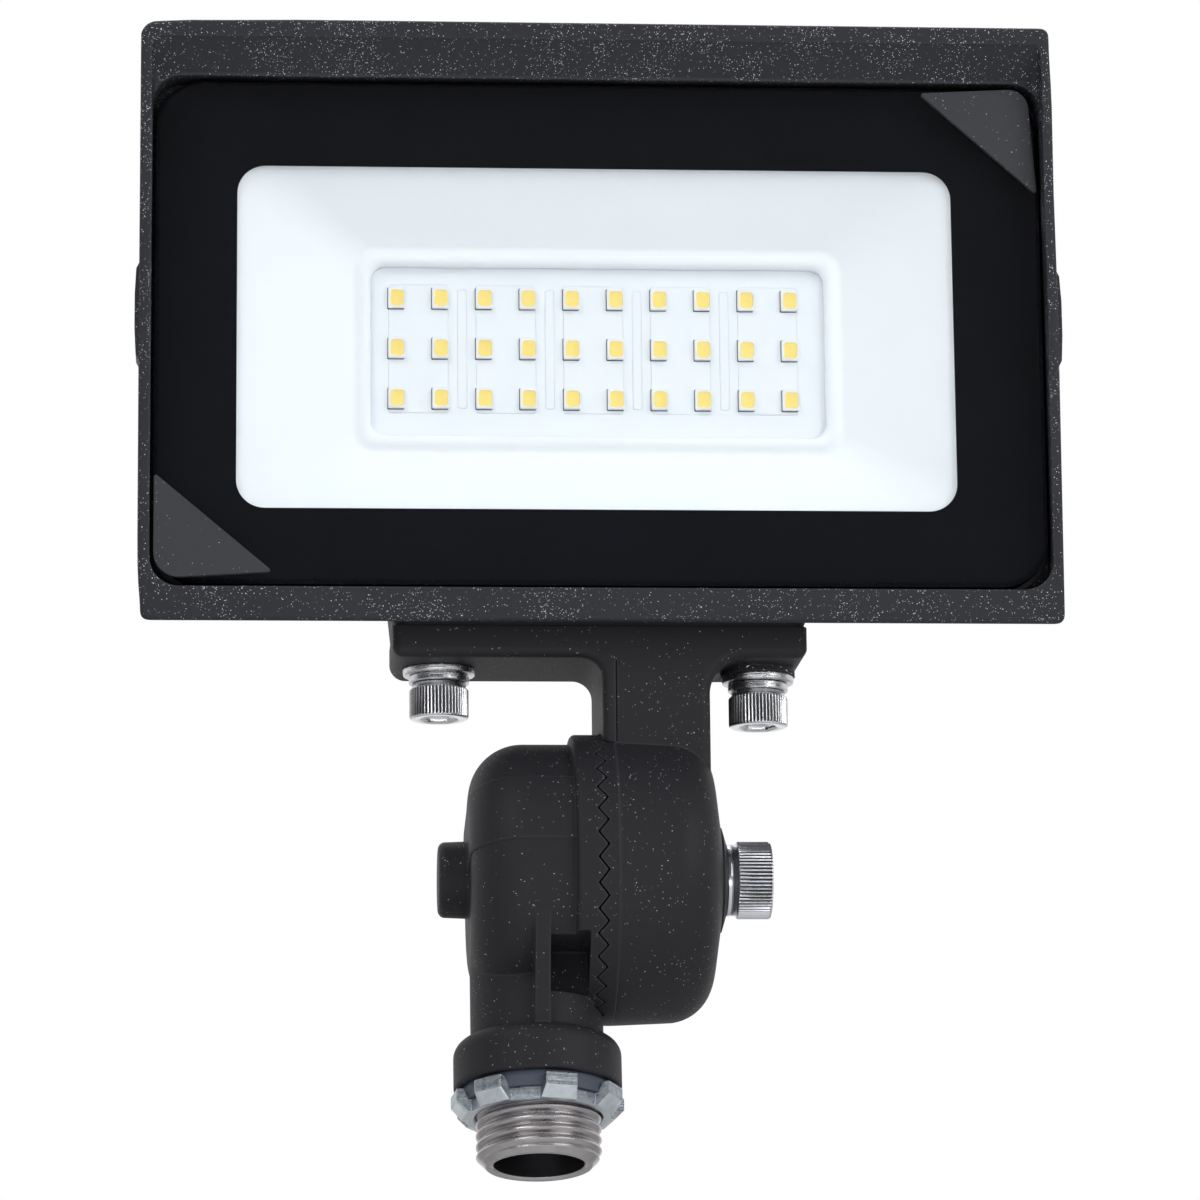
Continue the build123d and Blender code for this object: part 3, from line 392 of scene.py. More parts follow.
def clearGlass(name, look):
    made, tree, pane = newMaterial(name)
    pane.inputs["Base Color"].default_value = look["colour"]
    pane.inputs["Metallic"].default_value = 0.0
    pane.inputs["Transmission Weight"].default_value = 1.0
    pane.inputs["IOR"].default_value = look["ior"]
    grain = place(tree, grainGroup, {"Grain Per Metre": look["grain"], "Patch Per Metre": look["patch"]})
    smear = maths(tree, "MULTIPLY", grain.outputs["Patches"], look["smear"])
    tree.links.new(smear, pane.inputs["Roughness"])
    # Lamps reach what is behind the pane
    path = tree.nodes.new("ShaderNodeLightPath")
    clear = tree.nodes.new("ShaderNodeBsdfTransparent")
    clear.inputs["Color"].default_value = look["shadowTint"]
    pick = tree.nodes.new("ShaderNodeMixShader")
    tree.links.new(path.outputs["Is Shadow Ray"], pick.inputs["Fac"])
    tree.links.new(pane.outputs["BSDF"], pick.inputs[1])
    tree.links.new(clear.outputs["BSDF"], pick.inputs[2])
    tree.links.new(pick.outputs["Shader"], tree.nodes["Material Output"].inputs["Surface"])
    return made


paintBase = {
    "dark": (0.017, 0.018, 0.023), "light": (0.033, 0.034, 0.042),
    # The edge colour is part wear, part painted highlight
    "edgeWearAndHighlightColour": (0.085, 0.088, 0.100), "edgeWearAndHighlight": 0.5, "edgeWidth": 0.0006,
    # The crevice colour is painted shade
    "creviceShadeColour": (0.004, 0.004, 0.005), "creviceShade": 0.9,
    "grain": 2200.0, "patch": 45.0, "bump": 0.25, "bumpDepth": 0.00012,
    # The fleck colour is the flakes' painted glint
    "fleckGlintColour": (0.86, 0.93, 1.0), "fleckRate": 5000.0, "fleckSize": 0.22, "drifts": 110.0,
    "roughBase": 0.50, "roughSpread": 0.20, "specular": 0.25,
}

# The housing's powder coat is drawn with many bright flecks and the knuckle's with few. These are painted
# glints that depend on how light catches the flakes. The knuckle's coat is also drawn darker
housingPaint = paintedCasting("housingPaint", {**paintBase, "fleckSize": 0.25, "fleckShare": 0.34})
knucklePaint = paintedCasting("knucklePaint", {
    **paintBase, "dark": (0.011, 0.011, 0.014), "light": (0.022, 0.022, 0.027),
    "fleckShare": 0.06,
})
clipPaint = paintedCasting("clipPaint", {
    **paintBase, "dark": (0.040, 0.041, 0.047), "light": (0.050, 0.052, 0.059),
    "edgeWidth": 0.0003, "edgeWearAndHighlight": 0.8, "fleckShare": 0.05,
})

metalBase = {
    "grain": 1500.0, "patch": 160.0, "marksAlong": (0.0, 0.0, 1.0), "marks": 7000.0,
    # The edge colours are part wear, part painted highlight
    "streak": 0.3, "edgeWearAndHighlight": 0.6, "edgeWidth": 0.00025, "bump": 0.15, "bumpDepth": 0.00006,
}

nippleSteel = metalFinish("nippleSteel", {
    **metalBase, "dark": (0.30, 0.28, 0.29), "light": (0.50, 0.48, 0.49),
    "streakColour": (0.60, 0.58, 0.59), "edgeWearAndHighlightColour": (0.75, 0.73, 0.74),
    "patch": 420.0, "bump": 0.3, "roughBase": 0.16, "roughSpread": 0.26,
})

zincPlate = metalFinish("zincPlate", {
    **metalBase, "dark": (0.46, 0.52, 0.56), "light": (0.86, 0.92, 0.96),
    "streakColour": (0.60, 0.66, 0.70), "edgeWearAndHighlightColour": (0.90, 0.93, 0.95), "edgeWidth": 0.00018,
    "grain": 1100.0, "bump": 0.45, "bumpDepth": 0.00016, "patch": 700.0,
    "roughBase": 0.20, "roughSpread": 0.30,
})

# Where the press sheared the nut's rim and lugs: drawn darker and more mottled, part sheared metal and part
# painted shade on the rim wall and lug faces
shearedZincAndShade = metalFinish("shearedZincAndShade", {
    **metalBase, "dark": (0.12, 0.14, 0.17), "light": (0.60, 0.66, 0.71),
    "streakColour": (0.40, 0.45, 0.50), "edgeWearAndHighlightColour": (0.90, 0.93, 0.95), "edgeWidth": 0.00018,
    "grain": 1300.0, "bump": 0.8, "bumpDepth": 0.0002, "patch": 1100.0, "roughBase": 0.16, "roughSpread": 0.30,
})

boltSteel = metalFinish("boltSteel", {
    **metalBase, "dark": (0.66, 0.67, 0.72), "light": (0.82, 0.84, 0.90), "marksAlong": (1.0, 0.0, 0.0),
    "streakColour": (0.86, 0.88, 0.92), "edgeWearAndHighlightColour": (0.92, 0.94, 0.98),
    "roughBase": 0.13, "roughSpread": 0.14,
})

screwSteel = metalFinish("screwSteel", {
    **metalBase, "dark": (0.60, 0.61, 0.64), "light": (0.80, 0.81, 0.84),
    "streakColour": (0.84, 0.84, 0.86), "edgeWearAndHighlightColour": (0.92, 0.93, 0.95),
    "roughBase": 0.13, "roughSpread": 0.14,
})

washerSteel = metalFinish("washerSteel", {
    **metalBase, "dark": (0.22, 0.22, 0.24), "light": (0.86, 0.87, 0.89),
    "streakColour": (0.80, 0.80, 0.82), "edgeWearAndHighlightColour": (0.90, 0.91, 0.93), "patch": 1500.0,
    "bump": 0.4, "bumpDepth": 0.0001, "roughBase": 0.16, "roughSpread": 0.18,
})

smallScrewSteel = metalFinish("smallScrewSteel", {
    **metalBase, "dark": (0.38, 0.37, 0.36), "light": (0.55, 0.54, 0.52),
    "streakColour": (0.66, 0.65, 0.62), "edgeWearAndHighlightColour": (0.80, 0.79, 0.76),
    "roughBase": 0.25, "roughSpread": 0.20,
})

softBase = {
    # The edge colours are part wear, part painted highlight
    "grain": 2600.0, "patch": 70.0, "edgeWearAndHighlight": 0.3, "edgeWidth": 0.0003,
    "bump": 0.2, "bumpDepth": 0.00008, "roughBase": 0.45, "roughSpread": 0.25, "specular": 0.4,
}

blackRubber = softFinish("blackRubber", {
    **softBase, "dark": (0.008, 0.008, 0.010), "light": (0.016, 0.016, 0.020),
    "edgeWearAndHighlightColour": (0.045, 0.046, 0.052), "roughBase": 0.5,
})

greyGasket = softFinish("greyGasket", {
    **softBase, "dark": (0.050, 0.062, 0.090), "light": (0.070, 0.085, 0.118),
    "edgeWearAndHighlightColour": (0.10, 0.12, 0.15), "roughBase": 0.4,
})

# The glass's black print, also used on the pane's sides as painted shade of the dark recess behind them
blackPrintAndShade = softFinish("blackPrintAndShade", {
    **softBase, "dark": (0.0055, 0.0058, 0.0085), "light": (0.0075, 0.0080, 0.0115),
    "edgeWearAndHighlightColour": (0.008, 0.008, 0.010), "edgeWearAndHighlight": 0.0, "bump": 0.03, "roughBase": 0.5, "specular": 0.0,
})

reflectorWhite = softFinish("reflectorWhite", {
    **softBase, "dark": (0.86, 0.88, 0.93), "light": (0.88, 0.90, 0.94),
    "edgeWearAndHighlightColour": (0.88, 0.90, 0.93), "roughBase": 0.38, "roughSpread": 0.12, "bump": 0.06,
})

maskWhite = softFinish("maskWhite", {
    **softBase, "dark": (0.83, 0.85, 0.91), "light": (0.86, 0.88, 0.93),
    "edgeWearAndHighlightColour": (0.86, 0.87, 0.91), "roughBase": 0.42, "roughSpread": 0.15, "bump": 0.08,
})

packageWhite = softFinish("packageWhite", {
    **softBase, "dark": (0.84, 0.85, 0.86), "light": (0.88, 0.88, 0.89),
    "edgeWearAndHighlightColour": (0.92, 0.92, 0.92), "edgeWidth": 0.00008, "roughBase": 0.32, "roughSpread": 0.12,
})

phosphorYellow = softFinish("phosphorYellow", {
    **softBase, "dark": (0.97, 0.72, 0.19), "light": (1.0, 0.78, 0.26), "patch": 900.0,
    "edgeWearAndHighlightColour": (0.93, 0.78, 0.36), "edgeWidth": 0.00008, "roughBase": 0.22, "roughSpread": 0.2,
})

frontGlass = clearGlass("frontGlass", {
    "colour": (0.97, 0.99, 0.99, 1), "ior": 1.5, "shadowTint": (0.90, 0.92, 0.92, 1),
    "grain": 900.0, "patch": 25.0, "smear": 0.02,
})

# Near black: painted shade in the knurl grooves and the nipple's bore
grooveShadeBlack = metalFinish("grooveShadeBlack", {
    **metalBase, "dark": (0.03, 0.03, 0.035), "light": (0.08, 0.08, 0.09),
    "streakColour": (0.10, 0.10, 0.11), "edgeWearAndHighlightColour": (0.2, 0.2, 0.22), "edgeWearAndHighlight": 0.0,
    "roughBase": 0.35, "roughSpread": 0.2,
})

# Near-black solder: painted shade along the LED packages' foot
solderShade = metalFinish("solderShade", {
    **metalBase, "dark": (0.05, 0.05, 0.05), "light": (0.10, 0.10, 0.10),
    "streakColour": (0.2, 0.2, 0.2), "edgeWearAndHighlightColour": (0.25, 0.25, 0.25),
    "roughBase": 0.4, "roughSpread": 0.2,
})

nodeFinishes = [
    (housingPaint, "housing rear_cover"),
    (knucklePaint, "upper_arm lower_arm knuckle_tooth_ring"),
    (clipPaint, "corner_clip_upper corner_clip_lower"),
    (greyGasket, "collar_gasket"),
    (blackRubber, "glass_gasket bracket_gasket knuckle_seal pivot_seal_washer rear_cover_gasket wire_grommet"),
    (zincPlate, "locknut"),
    (boltSteel, "pivot_bolt pivot_spring_washer"),
    (nippleSteel, "threaded_nipple"),
    (screwSteel, "bracket_screws"),
    (washerSteel, "bracket_flat_washers bracket_spring_washers"),
    (smallScrewSteel, "led_board_screws driver_board_screws rear_cover_screws"),
    (frontGlass, "front_glass"),
    (reflectorWhite, "reflector"),
    (maskWhite, "led_board"),
    (packageWhite, "led_packages"),
]

# What is inside: dark, light and edge colour (wear and painted highlight), roughness and node
for name, dark, light, edgeWearAndHighlightColour, roughBase, held in (
    ("leadRed", (0.50, 0.03, 0.025), (0.62, 0.05, 0.04), (0.7, 0.1, 0.08), 0.3, "led_leads"),
    ("thermalGrey", (0.30, 0.32, 0.35), (0.38, 0.40, 0.43), (0.5, 0.5, 0.52), 0.6, "thermal_pad"),
    ("boardGreen", (0.012, 0.11, 0.04), (0.02, 0.17, 0.06), (0.30, 0.32, 0.16), 0.28, "driver_board"),
    ("tapeYellow", (0.62, 0.46, 0.06), (0.74, 0.56, 0.09), (0.85, 0.72, 0.3), 0.3, "driver_transformer"),
    ("sleeveBlack", (0.014, 0.015, 0.028), (0.022, 0.024, 0.042), (0.2, 0.2, 0.24), 0.18, "driver_capacitors"),
    ("chipBlack", (0.012, 0.012, 0.012), (0.022, 0.022, 0.022), (0.07, 0.07, 0.07), 0.45, "driver_bridge"),
):
    look = {**softBase, "dark": dark, "light": light, "edgeWearAndHighlightColour": edgeWearAndHighlightColour, "roughBase": roughBase}
    nodeFinishes.append((softFinish(name, look), held))

for finish, names in nodeFinishes:
    for name in names.split():
        for held in nodes[name].material_slots:
            held.material = finish
print("finishes given to", len(nodes), "CAD nodes")


# Mesh helpers

def bridge(bm, low, high, material=0, around=True):
    for i in range(len(low) if around else len(low) - 1):
        j = (i + 1) % len(low)
        face = bm.faces.new((low[i], low[j], high[j], high[i]))
        face.material_index = material


def ringFaces(bm, rings, material=0, around=True, endless=False):
    made = [[bm.verts.new(p) for p in ring] for ring in rings]
    for low, high in zip(made, made[1:]):
        bridge(bm, low, high, material, around)
    if endless:
        bridge(bm, made[-1], made[0], material, around)
    return made


def polar(radius, angle, height):
    return radius * math.cos(angle), radius * math.sin(angle), height


def circle(radius, height, segments):
    return [polar(radius, 2 * math.pi * i / segments, height) for i in range(segments)]


def roundedRing(width, height, corner, y, x=0.0, z=0.0, steps=8):
    points = []
    for sideX, sideZ, first in ((1, 1, 0), (-1, 1, 90), (-1, -1, 180), (1, -1, 270)):
        for i in range(steps + 1):
            a = math.radians(first + 90 * i / steps)
            points.append((
                x + sideX * (width / 2 - corner) + corner * math.cos(a),
                y,
                z + sideZ * (height / 2 - corner) + corner * math.sin(a),
            ))
    return points


def fillRing(bm, ring, material=0):
    face = bm.faces.new(ring)
    face.material_index = material


def fillEnds(bm, made, material=0):
    fillRing(bm, made[0], material)
    fillRing(bm, made[-1], material)


def makePiece(name, bm, where, finishes, body, stands=(), sharp=32.0, weld=0.0):
    if weld:
        bmesh.ops.remove_doubles(bm, verts=bm.verts, dist=weld)
    bmesh.ops.recalc_face_normals(bm, faces=bm.faces)
    mesh = bpy.data.meshes.new(name)
    bm.to_mesh(mesh)
    bm.free()
    mesh.transform(where)
    for finish in finishes:
        mesh.materials.append(finish)
    mesh.shade_smooth()
    mesh.set_sharp_from_angle(angle=math.radians(sharp))
    piece = bpy.data.objects.new(name, mesh)
    scene.collection.objects.link(piece)
    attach(piece, body)
    if stands:
        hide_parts(*stands)
    return piece


# The housing: the CAD solid with its corners drawn true and the frame's front cut finer
housingShell = {
    "centre": (10.9, 92.3), "size": (155.0, 103.0), "corner": 2.6, "squareness": 4.0,
    "draftY": -16.6, "sideDraft": 6.0, "endDraft": 13.5, "fadeFrom": -16.6, "fadeTo": -6.0,
    # how far a rim is drawn in, and between which places that grows
    "rightPulls": ((0.3, 95, 115), (0.3, 130, 141)),
    "leftPulls": ((0.12, -60, -50), (0.46, -50, -42)),
    "topPulls": ((0.22, 40, 56), (0.40, 57, 67)),
    "sideSkin": (1.2, 3.2), "topSkin": (1.2, 4.5),
    "levels": (44.0, 47.0, 50.0, 55.0, 95.0, 105.0, 115.0, 130.0, 134.0, 137.0, 140.0),
    "columns": (-62.0, -58.0, -52.0, -40.0),
    "recess": (151.2, 88.6), "recessCentre": (11.0, 90.7), "recessCorner": 5.0,
    "seatY": -11.8, "farFront": -40.0,
    "bandLeft": -64.72, "bandRight": 86.72, "bandFoot": (-17.65, 135.4), "bandHead": (-21.7, 140.7),
    "shelfZ": 127.6, "valley": 1.7, "valleySteps": (0.0, 0.08, 0.25, 0.5, 0.75, 1.0), "weld": 0.002,
}


def easeIn(value, start, end):
    share = min(max((value - start) / (end - start), 0.0), 1.0)
    return share * share * (3 - 2 * share)


def pull(value, steps):
    return sum(far * easeIn(value, start, end) for far, start, end in steps)


def trueCorner(point, look):
    x, y, z = point
    centreX, centreZ = look["centre"]
    back = max(0.0, y - look["draftY"])
    halfX = look["size"][0] / 2 - back * math.tan(math.radians(look["sideDraft"]))
    halfZ = look["size"][1] / 2 - back * math.tan(math.radians(look["endDraft"]))
    acrossX, acrossZ = abs(x - centreX), abs(z - centreZ)
    front = 1 - easeIn(y, look["fadeFrom"], look["fadeTo"])
    if front == 0:
        return point
    right, top = x > centreX, z > centreZ
    r, power = look["corner"], look["squareness"]
    u, v = (acrossX - halfX + r) / r, (acrossZ - halfZ + r) / r
    if u > 0 and v > 0 and (right or not top):
        grow = 1 + front * (math.hypot(u, v) / (u ** power + v ** power) ** (1 / power) - 1)
        x += (1 if right else -1) * r * u * (grow - 1)
        z += (1 if top else -1) * r * v * (grow - 1)
    inX = front * (1 - easeIn(halfX - acrossX, *look["sideSkin"]))
    inZ = front * (1 - easeIn(halfZ - acrossZ, *look["topSkin"]))
    if right:
        x -= inX * pull(z, look["rightPulls"])
    else:
        x += inX * pull(-z, look["leftPulls"])
    if top:
        z -= inZ * pull(-x, look["topPulls"])
    return x, y, z


def carve(shell, bm):
    bmesh.ops.recalc_face_normals(bm, faces=bm.faces)
    cutter = bpy.data.objects.new("cutter", bpy.data.meshes.new("cutter"))
    bm.to_mesh(cutter.data)
    bm.free()
    scene.collection.objects.link(cutter)
    cut = shell.modifiers.new("cut", "BOOLEAN")
    cut.operation = "DIFFERENCE"
    cut.solver = "EXACT"
    cut.object = cutter
    graph = bpy.context.evaluated_depsgraph_get()
    shell.data = bpy.data.meshes.new_from_object(shell.evaluated_get(graph))
    shell.modifiers.clear()
    bpy.data.objects.remove(cutter)


def makeHousingShell(look):
    source = nodes["housing"].data
    mesh = bpy.data.meshes.new("housingShell")
    mesh.from_pydata([v.co for v in source.vertices], [], [tuple(p.vertices) for p in source.polygons])
    mesh.transform(inHead.inverted())
    bm = bmesh.new()
    bm.from_mesh(mesh)
    bmesh.ops.remove_doubles(bm, verts=bm.verts, dist=look["weld"])
    bm.to_mesh(mesh)
    bm.free()
    shell = bpy.data.objects.new("housingShell", mesh)
    scene.collection.objects.link(shell)

    # A recess with tighter corners than the glass
    recess = bmesh.new()
    width, height = look["recess"]
    x, z = look["recessCentre"]
    depths, corner = (look["farFront"], look["seatY"]), look["recessCorner"]
    fillEnds(recess, ringFaces(recess, [roundedRing(width, height, corner, y, x, z, 10) for y in depths]))
    carve(shell, recess)

    # The sloped band above it, running out into a valley beside each rim
    band = bmesh.new()
    footY, footZ = look["bandFoot"]
    headY, headZ = look["bandHead"]
    farFront, shelfZ = look["farFront"], look["shelfZ"]
    sections = []
    for side, end in ((1, look["bandLeft"]), (-1, look["bandRight"])):
        row = []
        for share in look["valleySteps"]:
            x = end + side * share * look["valley"]
            rise = look["valley"] * (1 - math.sqrt(1 - (1 - share) ** 2))
            foot, head = footY - rise, headY - rise
            corners = ((foot, shelfZ), (foot, footZ), (head, headZ), (farFront, headZ), (farFront, shelfZ))
            row.append([(x, y, z) for y, z in corners])
        sections += row if side == 1 else row[::-1]
    fillEnds(band, ringFaces(band, sections))
    carve(shell, band)

    # Corners and rims drawn in a little, as the casting is
    bm = bmesh.new()
    bm.from_mesh(shell.data)
    cuts = [((0, 0, z), (0, 0, 1)) for z in look["levels"]]
    cuts += [((x, 0, 0), (1, 0, 0)) for x in look["columns"]]
    for spot, across in cuts:
        everything = bm.verts[:] + bm.edges[:] + bm.faces[:]
        bmesh.ops.bisect_plane(bm, geom=everything, plane_co=spot, plane_no=across, dist=0.0005)
    for vert in bm.verts:
        vert.co = trueCorner(tuple(vert.co), look)
    bm.to_mesh(shell.data)
    bm.free()

    shell.data.transform(inHead)
    shell.data.materials.clear()
    shell.data.materials.append(housingPaint)
    shell.data.shade_smooth()
    shell.data.set_sharp_from_angle(angle=math.radians(28))
    flatFirst = shell.modifiers.new("flatFirst", "WEIGHTED_NORMAL")
    flatFirst.keep_sharp = True
    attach(shell, "head")
    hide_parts("housing")


# Three-cornered clips over the glass, bent up a little from its edge
cornerClip = {
    "frontY": -18.0, "backY": -17.02, "edge": 0.12, "arcSteps": 8,
    "upper": ((65.6, 133.1, 0.35), (84.25, 134.05, 3.4), (85.55, 115.2, 0.35)),
    "lower": ((-63.9, 65.7, 0.35), (-63.9, 47.65, 4.2), (-44.0, 48.85, 0.35)),
}


def makeCornerClip(name, look, corners, stands):
    outline = []
    for i, (x, z, radius) in enumerate(corners):
        here = Vector((x, z))
        before = (Vector(corners[i - 1][:2]) - here).normalized()
        after = (Vector(corners[(i + 1) % 3][:2]) - here).normalized()
        half = before.angle(after) / 2
        centre = here + (before + after).normalized() * radius / math.sin(half)
        reach = radius / math.tan(half)
        first, last = here + before * reach - centre, here + after * reach - centre
        turn = first.angle_signed(last)
        for step in range(look["arcSteps"] + 1):
            a = -turn * step / look["arcSteps"]
            outline.append((
                centre.x + first.x * math.cos(a) - first.y * math.sin(a),
                centre.y + first.x * math.sin(a) + first.y * math.cos(a),
            ))
    middle = sum((Vector(p) for p in outline), Vector((0, 0))) / len(outline)
    bm = bmesh.new()
    inset, frontY = look["edge"], look["frontY"]
    steps = ((0, look["backY"]), (0, frontY + inset), (inset * 0.35, frontY + inset * 0.3), (inset, frontY))
    rings = []
    for shrink, y in steps:
        share = shrink / 10
        rings.append([(px - (px - middle.x) * share, y, pz - (pz - middle.y) * share) for px, pz in outline])
    fillEnds(bm, ringFaces(bm, rings))
    makePiece(name, bm, inHead, [clipPaint], "head", [stands], sharp=35)


# Front glass with the black border printed on its back
frontPane = {
    "width": 150.0, "height": 87.2, "corner": 8.2, "centre": (11.0, 90.7),
    "frontY": -17.0, "backY": -13.03, "ground": 0.7, "backGround": 0.3,
    "windowWidth": 121.4, "windowHeight": 59.5, "windowCorner": 4.8, "windowCentre": (10.45, 90.33),
}


def makeFrontPane(look):
    bm = bmesh.new()
    x, z = look["centre"]
    width, height, corner = look["width"], look["height"], look["corner"]
    frontY, backY, ground, backGround = look["frontY"], look["backY"], look["ground"], look["backGround"]
    rings = ringFaces(bm, [
        roundedRing(width - 2 * inset, height - 2 * inset, corner - inset, y, x, z, 12)
        for inset, y in ((ground, frontY), (0, frontY + ground), (0, backY - backGround), (backGround, backY))
    ])
    fillRing(bm, rings[0])
    for face in bm.faces:   # the black also runs round the pane's sides, up to the ground edge, as painted shade of the dark recess behind them
        face.material_index = 1 if min(v.co.y for v in face.verts) > frontY + 0.5 * ground else 0
    windowX, windowZ = look["windowCentre"]
    size = (look["windowWidth"], look["windowHeight"], look["windowCorner"])
    inner = [bm.verts.new(p) for p in roundedRing(*size, backY, windowX, windowZ, 12)]
    bridge(bm, rings[-1], inner, 1)
    fillRing(bm, inner)
    finishes = [frontGlass, blackPrintAndShade]
    makePiece("frontPane", bm, inHead, finishes, "head", ["front_glass"], sharp=20)


# White reflector dish with a rounded lip round its opening
reflectorDish = {
    "mouth": (126.0, 64.0), "mouthCorner": 7.0, "rim": 4.5, "rimCorner": 2.5,
    "opening": (77.4, 29.7), "land": 3.2, "lipRise": 0.45,
    "centre": (10.5, 90.3), "openingShift": (0.6, -0.8),
    "mouthY": -12.75, "landY": -7.4, "footY": -6.02, "wall": 0.9, "mouthEdge": (0.8, 0.25),
}


def makeReflectorDish(look):
    bm = bmesh.new()
    x, z = look["centre"]
    openX, openZ = x + look["openingShift"][0], z + look["openingShift"][1]
    mouthW, mouthH = look["mouth"]
    mouthY, landY, rise, rim = look["mouthY"], look["landY"], look["lipRise"], 2 * look["rim"]
    edgeIn, edgeDrop = look["mouthEdge"]
    rings = [
        roundedRing(mouthW + rim, mouthH + rim, look["rimCorner"], mouthY, x, z),
        roundedRing(mouthW, mouthH, look["mouthCorner"], mouthY, x, z),
        roundedRing(mouthW - edgeIn, mouthH - edgeIn, look["mouthCorner"], mouthY + edgeDrop, x, z),
    ]
    land = 2 * look["land"]
    wallFoot = [side + land for side in look["opening"]]
    # The four slopes run on to a land round the opening, then a small bead turns down to the board
    for grow, depth, corner in (
        (0.6, landY - 0.22, 3.9), (0.0, landY, 3.8), (-1.3, landY + 0.05, 3.4),
        (-2.5, landY - 0.6 * rise, 3.2), (-3.8, landY - rise, 3.0), (-5.0, landY - 0.8 * rise, 2.8),
        (-5.9, landY - 0.2 * rise, 2.7), (-land, landY + 0.4, 2.6), (-land, look["footY"], 2.6),
    ):
        rings.append(roundedRing(wallFoot[0] + grow, wallFoot[1] + grow, corner, depth, openX, openZ))
    ringFaces(bm, rings)
    finishes, stands = [reflectorWhite], ["reflector"]
    dish = makePiece("reflectorDish", bm, inHead, finishes, "head", stands, sharp=50)
    thick = dish.modifiers.new("wall", "SOLIDIFY")
    thick.thickness = look["wall"] * mm
    thick.offset = -1.0


# Copper pours under the board's white mask, seen as a faint relief
boardTracks = {
    "centre": (10.33, 90.13), "frontY": -6.0, "rise": 0.03, "pitchX": 7.45,
    "pours": 5, "pourWidth": 10.3, "pourHeight": 22.6, "linkWidth": 1.7, "linkHeight": 21.0,
    "corner": 0.5, "sink": 0.02,
}


def addPlate(bm, width, height, corner, backY, frontY, x, z, material=0, steps=4, soften=0.05):
    small = max(corner - soften, 0.02)
    rings = [
        roundedRing(width, height, corner, backY, x, z, steps),
        roundedRing(width, height, corner, frontY + soften, x, z, steps),
        roundedRing(width - 2 * soften, height - 2 * soften, small, frontY, x, z, steps),
    ]
    fillEnds(bm, ringFaces(bm, rings, material), material)


def makeBoardTracks(look):
    bm = bmesh.new()
    x, z = look["centre"]
    top, foot = look["frontY"] - look["rise"], look["frontY"] + look["sink"]
    pitch, pours, corner = look["pitchX"], look["pours"], look["corner"]
    for pair in range(pours):
        pourX = x + (pair - pours // 2) * 2 * pitch
        addPlate(bm, look["pourWidth"], look["pourHeight"], corner, foot, top, pourX, z)
        if pair < pours - 1:
            addPlate(bm, look["linkWidth"], look["linkHeight"], corner, foot, top, pourX + pitch, z)
    makePiece("boardTracks", bm, inHead, [maskWhite], "head", sharp=8)


# Thirty LED packages: white moulding, recessed phosphor and the solder round its foot, the solder drawn near
# black as painted shade along the foot
ledPackage = {
    "columns": 10, "rows": 3, "centre": (10.33, 90.13), "pitchX": 7.45, "pitchZ": 8.78,
    "width": 2.8, "height": 3.5, "corner": 0.18, "backY": -6.0, "faceY": -6.8,
    "windowWidth": 2.3, "windowHeight": 2.84, "windowCorner": 0.62, "recess": 0.06, "windowShift": 0.14,
    "solderY": -6.12, "solderLeft": 0.14, "solderEnd": 0.20, "faceRound": 0.12, "poolDraft": 0.3,
}


def makeLedPackages(look):
    bm = bmesh.new()
    x0 = look["centre"][0] - (look["columns"] - 1) / 2 * look["pitchX"]
    z0 = look["centre"][1] - (look["rows"] - 1) / 2 * look["pitchZ"]
    width, height, corner = look["width"], look["height"], look["corner"]
    windowW, windowH, windowCorner = look["windowWidth"], look["windowHeight"], look["windowCorner"]
    face, foot = look["faceY"], look["backY"]
    left, end, ease, narrow = look["solderLeft"], look["solderEnd"], look["faceRound"], look["poolDraft"]
    for column in range(look["columns"]):
        for row in range(look["rows"]):
            x, z = x0 + column * look["pitchX"], z0 + row * look["pitchZ"]
            windowX = x + look["windowShift"]
            made = ringFaces(bm, [
                roundedRing(width, height, corner, foot - 0.1, x, z, 3),
                roundedRing(width, height, corner, face + 0.06, x, z, 3),
                roundedRing(width - ease, height - ease, corner, face, x, z, 3),
                roundedRing(windowW, windowH, windowCorner, face, windowX, z, 3),
            ])
            fillRing(bm, made[0])
            poolW, poolH, poolCorner = windowW - narrow, windowH - narrow, windowCorner - narrow / 2
            pool = ringFaces(bm, [
                roundedRing(windowW, windowH, windowCorner, face + 0.001, windowX, z, 3),
                roundedRing(poolW, poolH, poolCorner, face + look["recess"], windowX, z, 3),
            ], 1)
            fillRing(bm, pool[-1], 1)
            solderW, solderH, solderX = width + left - 0.1, height + 2 * end - 0.06, x - left / 2 - 0.05
            addPlate(bm, solderW, solderH, 0.15, foot + 0.02, look["solderY"], solderX, z, 2, 2, 0.04)
    finishes = [packageWhite, phosphorYellow, solderShade]
    makePiece("ledPackages", bm, inHead, finishes, "head", ["led_packages"], sharp=45)


# Threaded nipple: a helical pipe thread that runs out over the chamfered end
pipeNipple = {
    "radius": 10.4, "bore": 7.5, "pitch": 1.814, "depth": 1.0, "crestCurve": 1.7,
    "threadTop": 12.6, "length": 23.8, "plainRadius": 9.9, "endRadius": 8.8, "endRise": 1.6,
    "startTurn": 0.13, "segments": 120, "rowsPerTurn": 12,
}


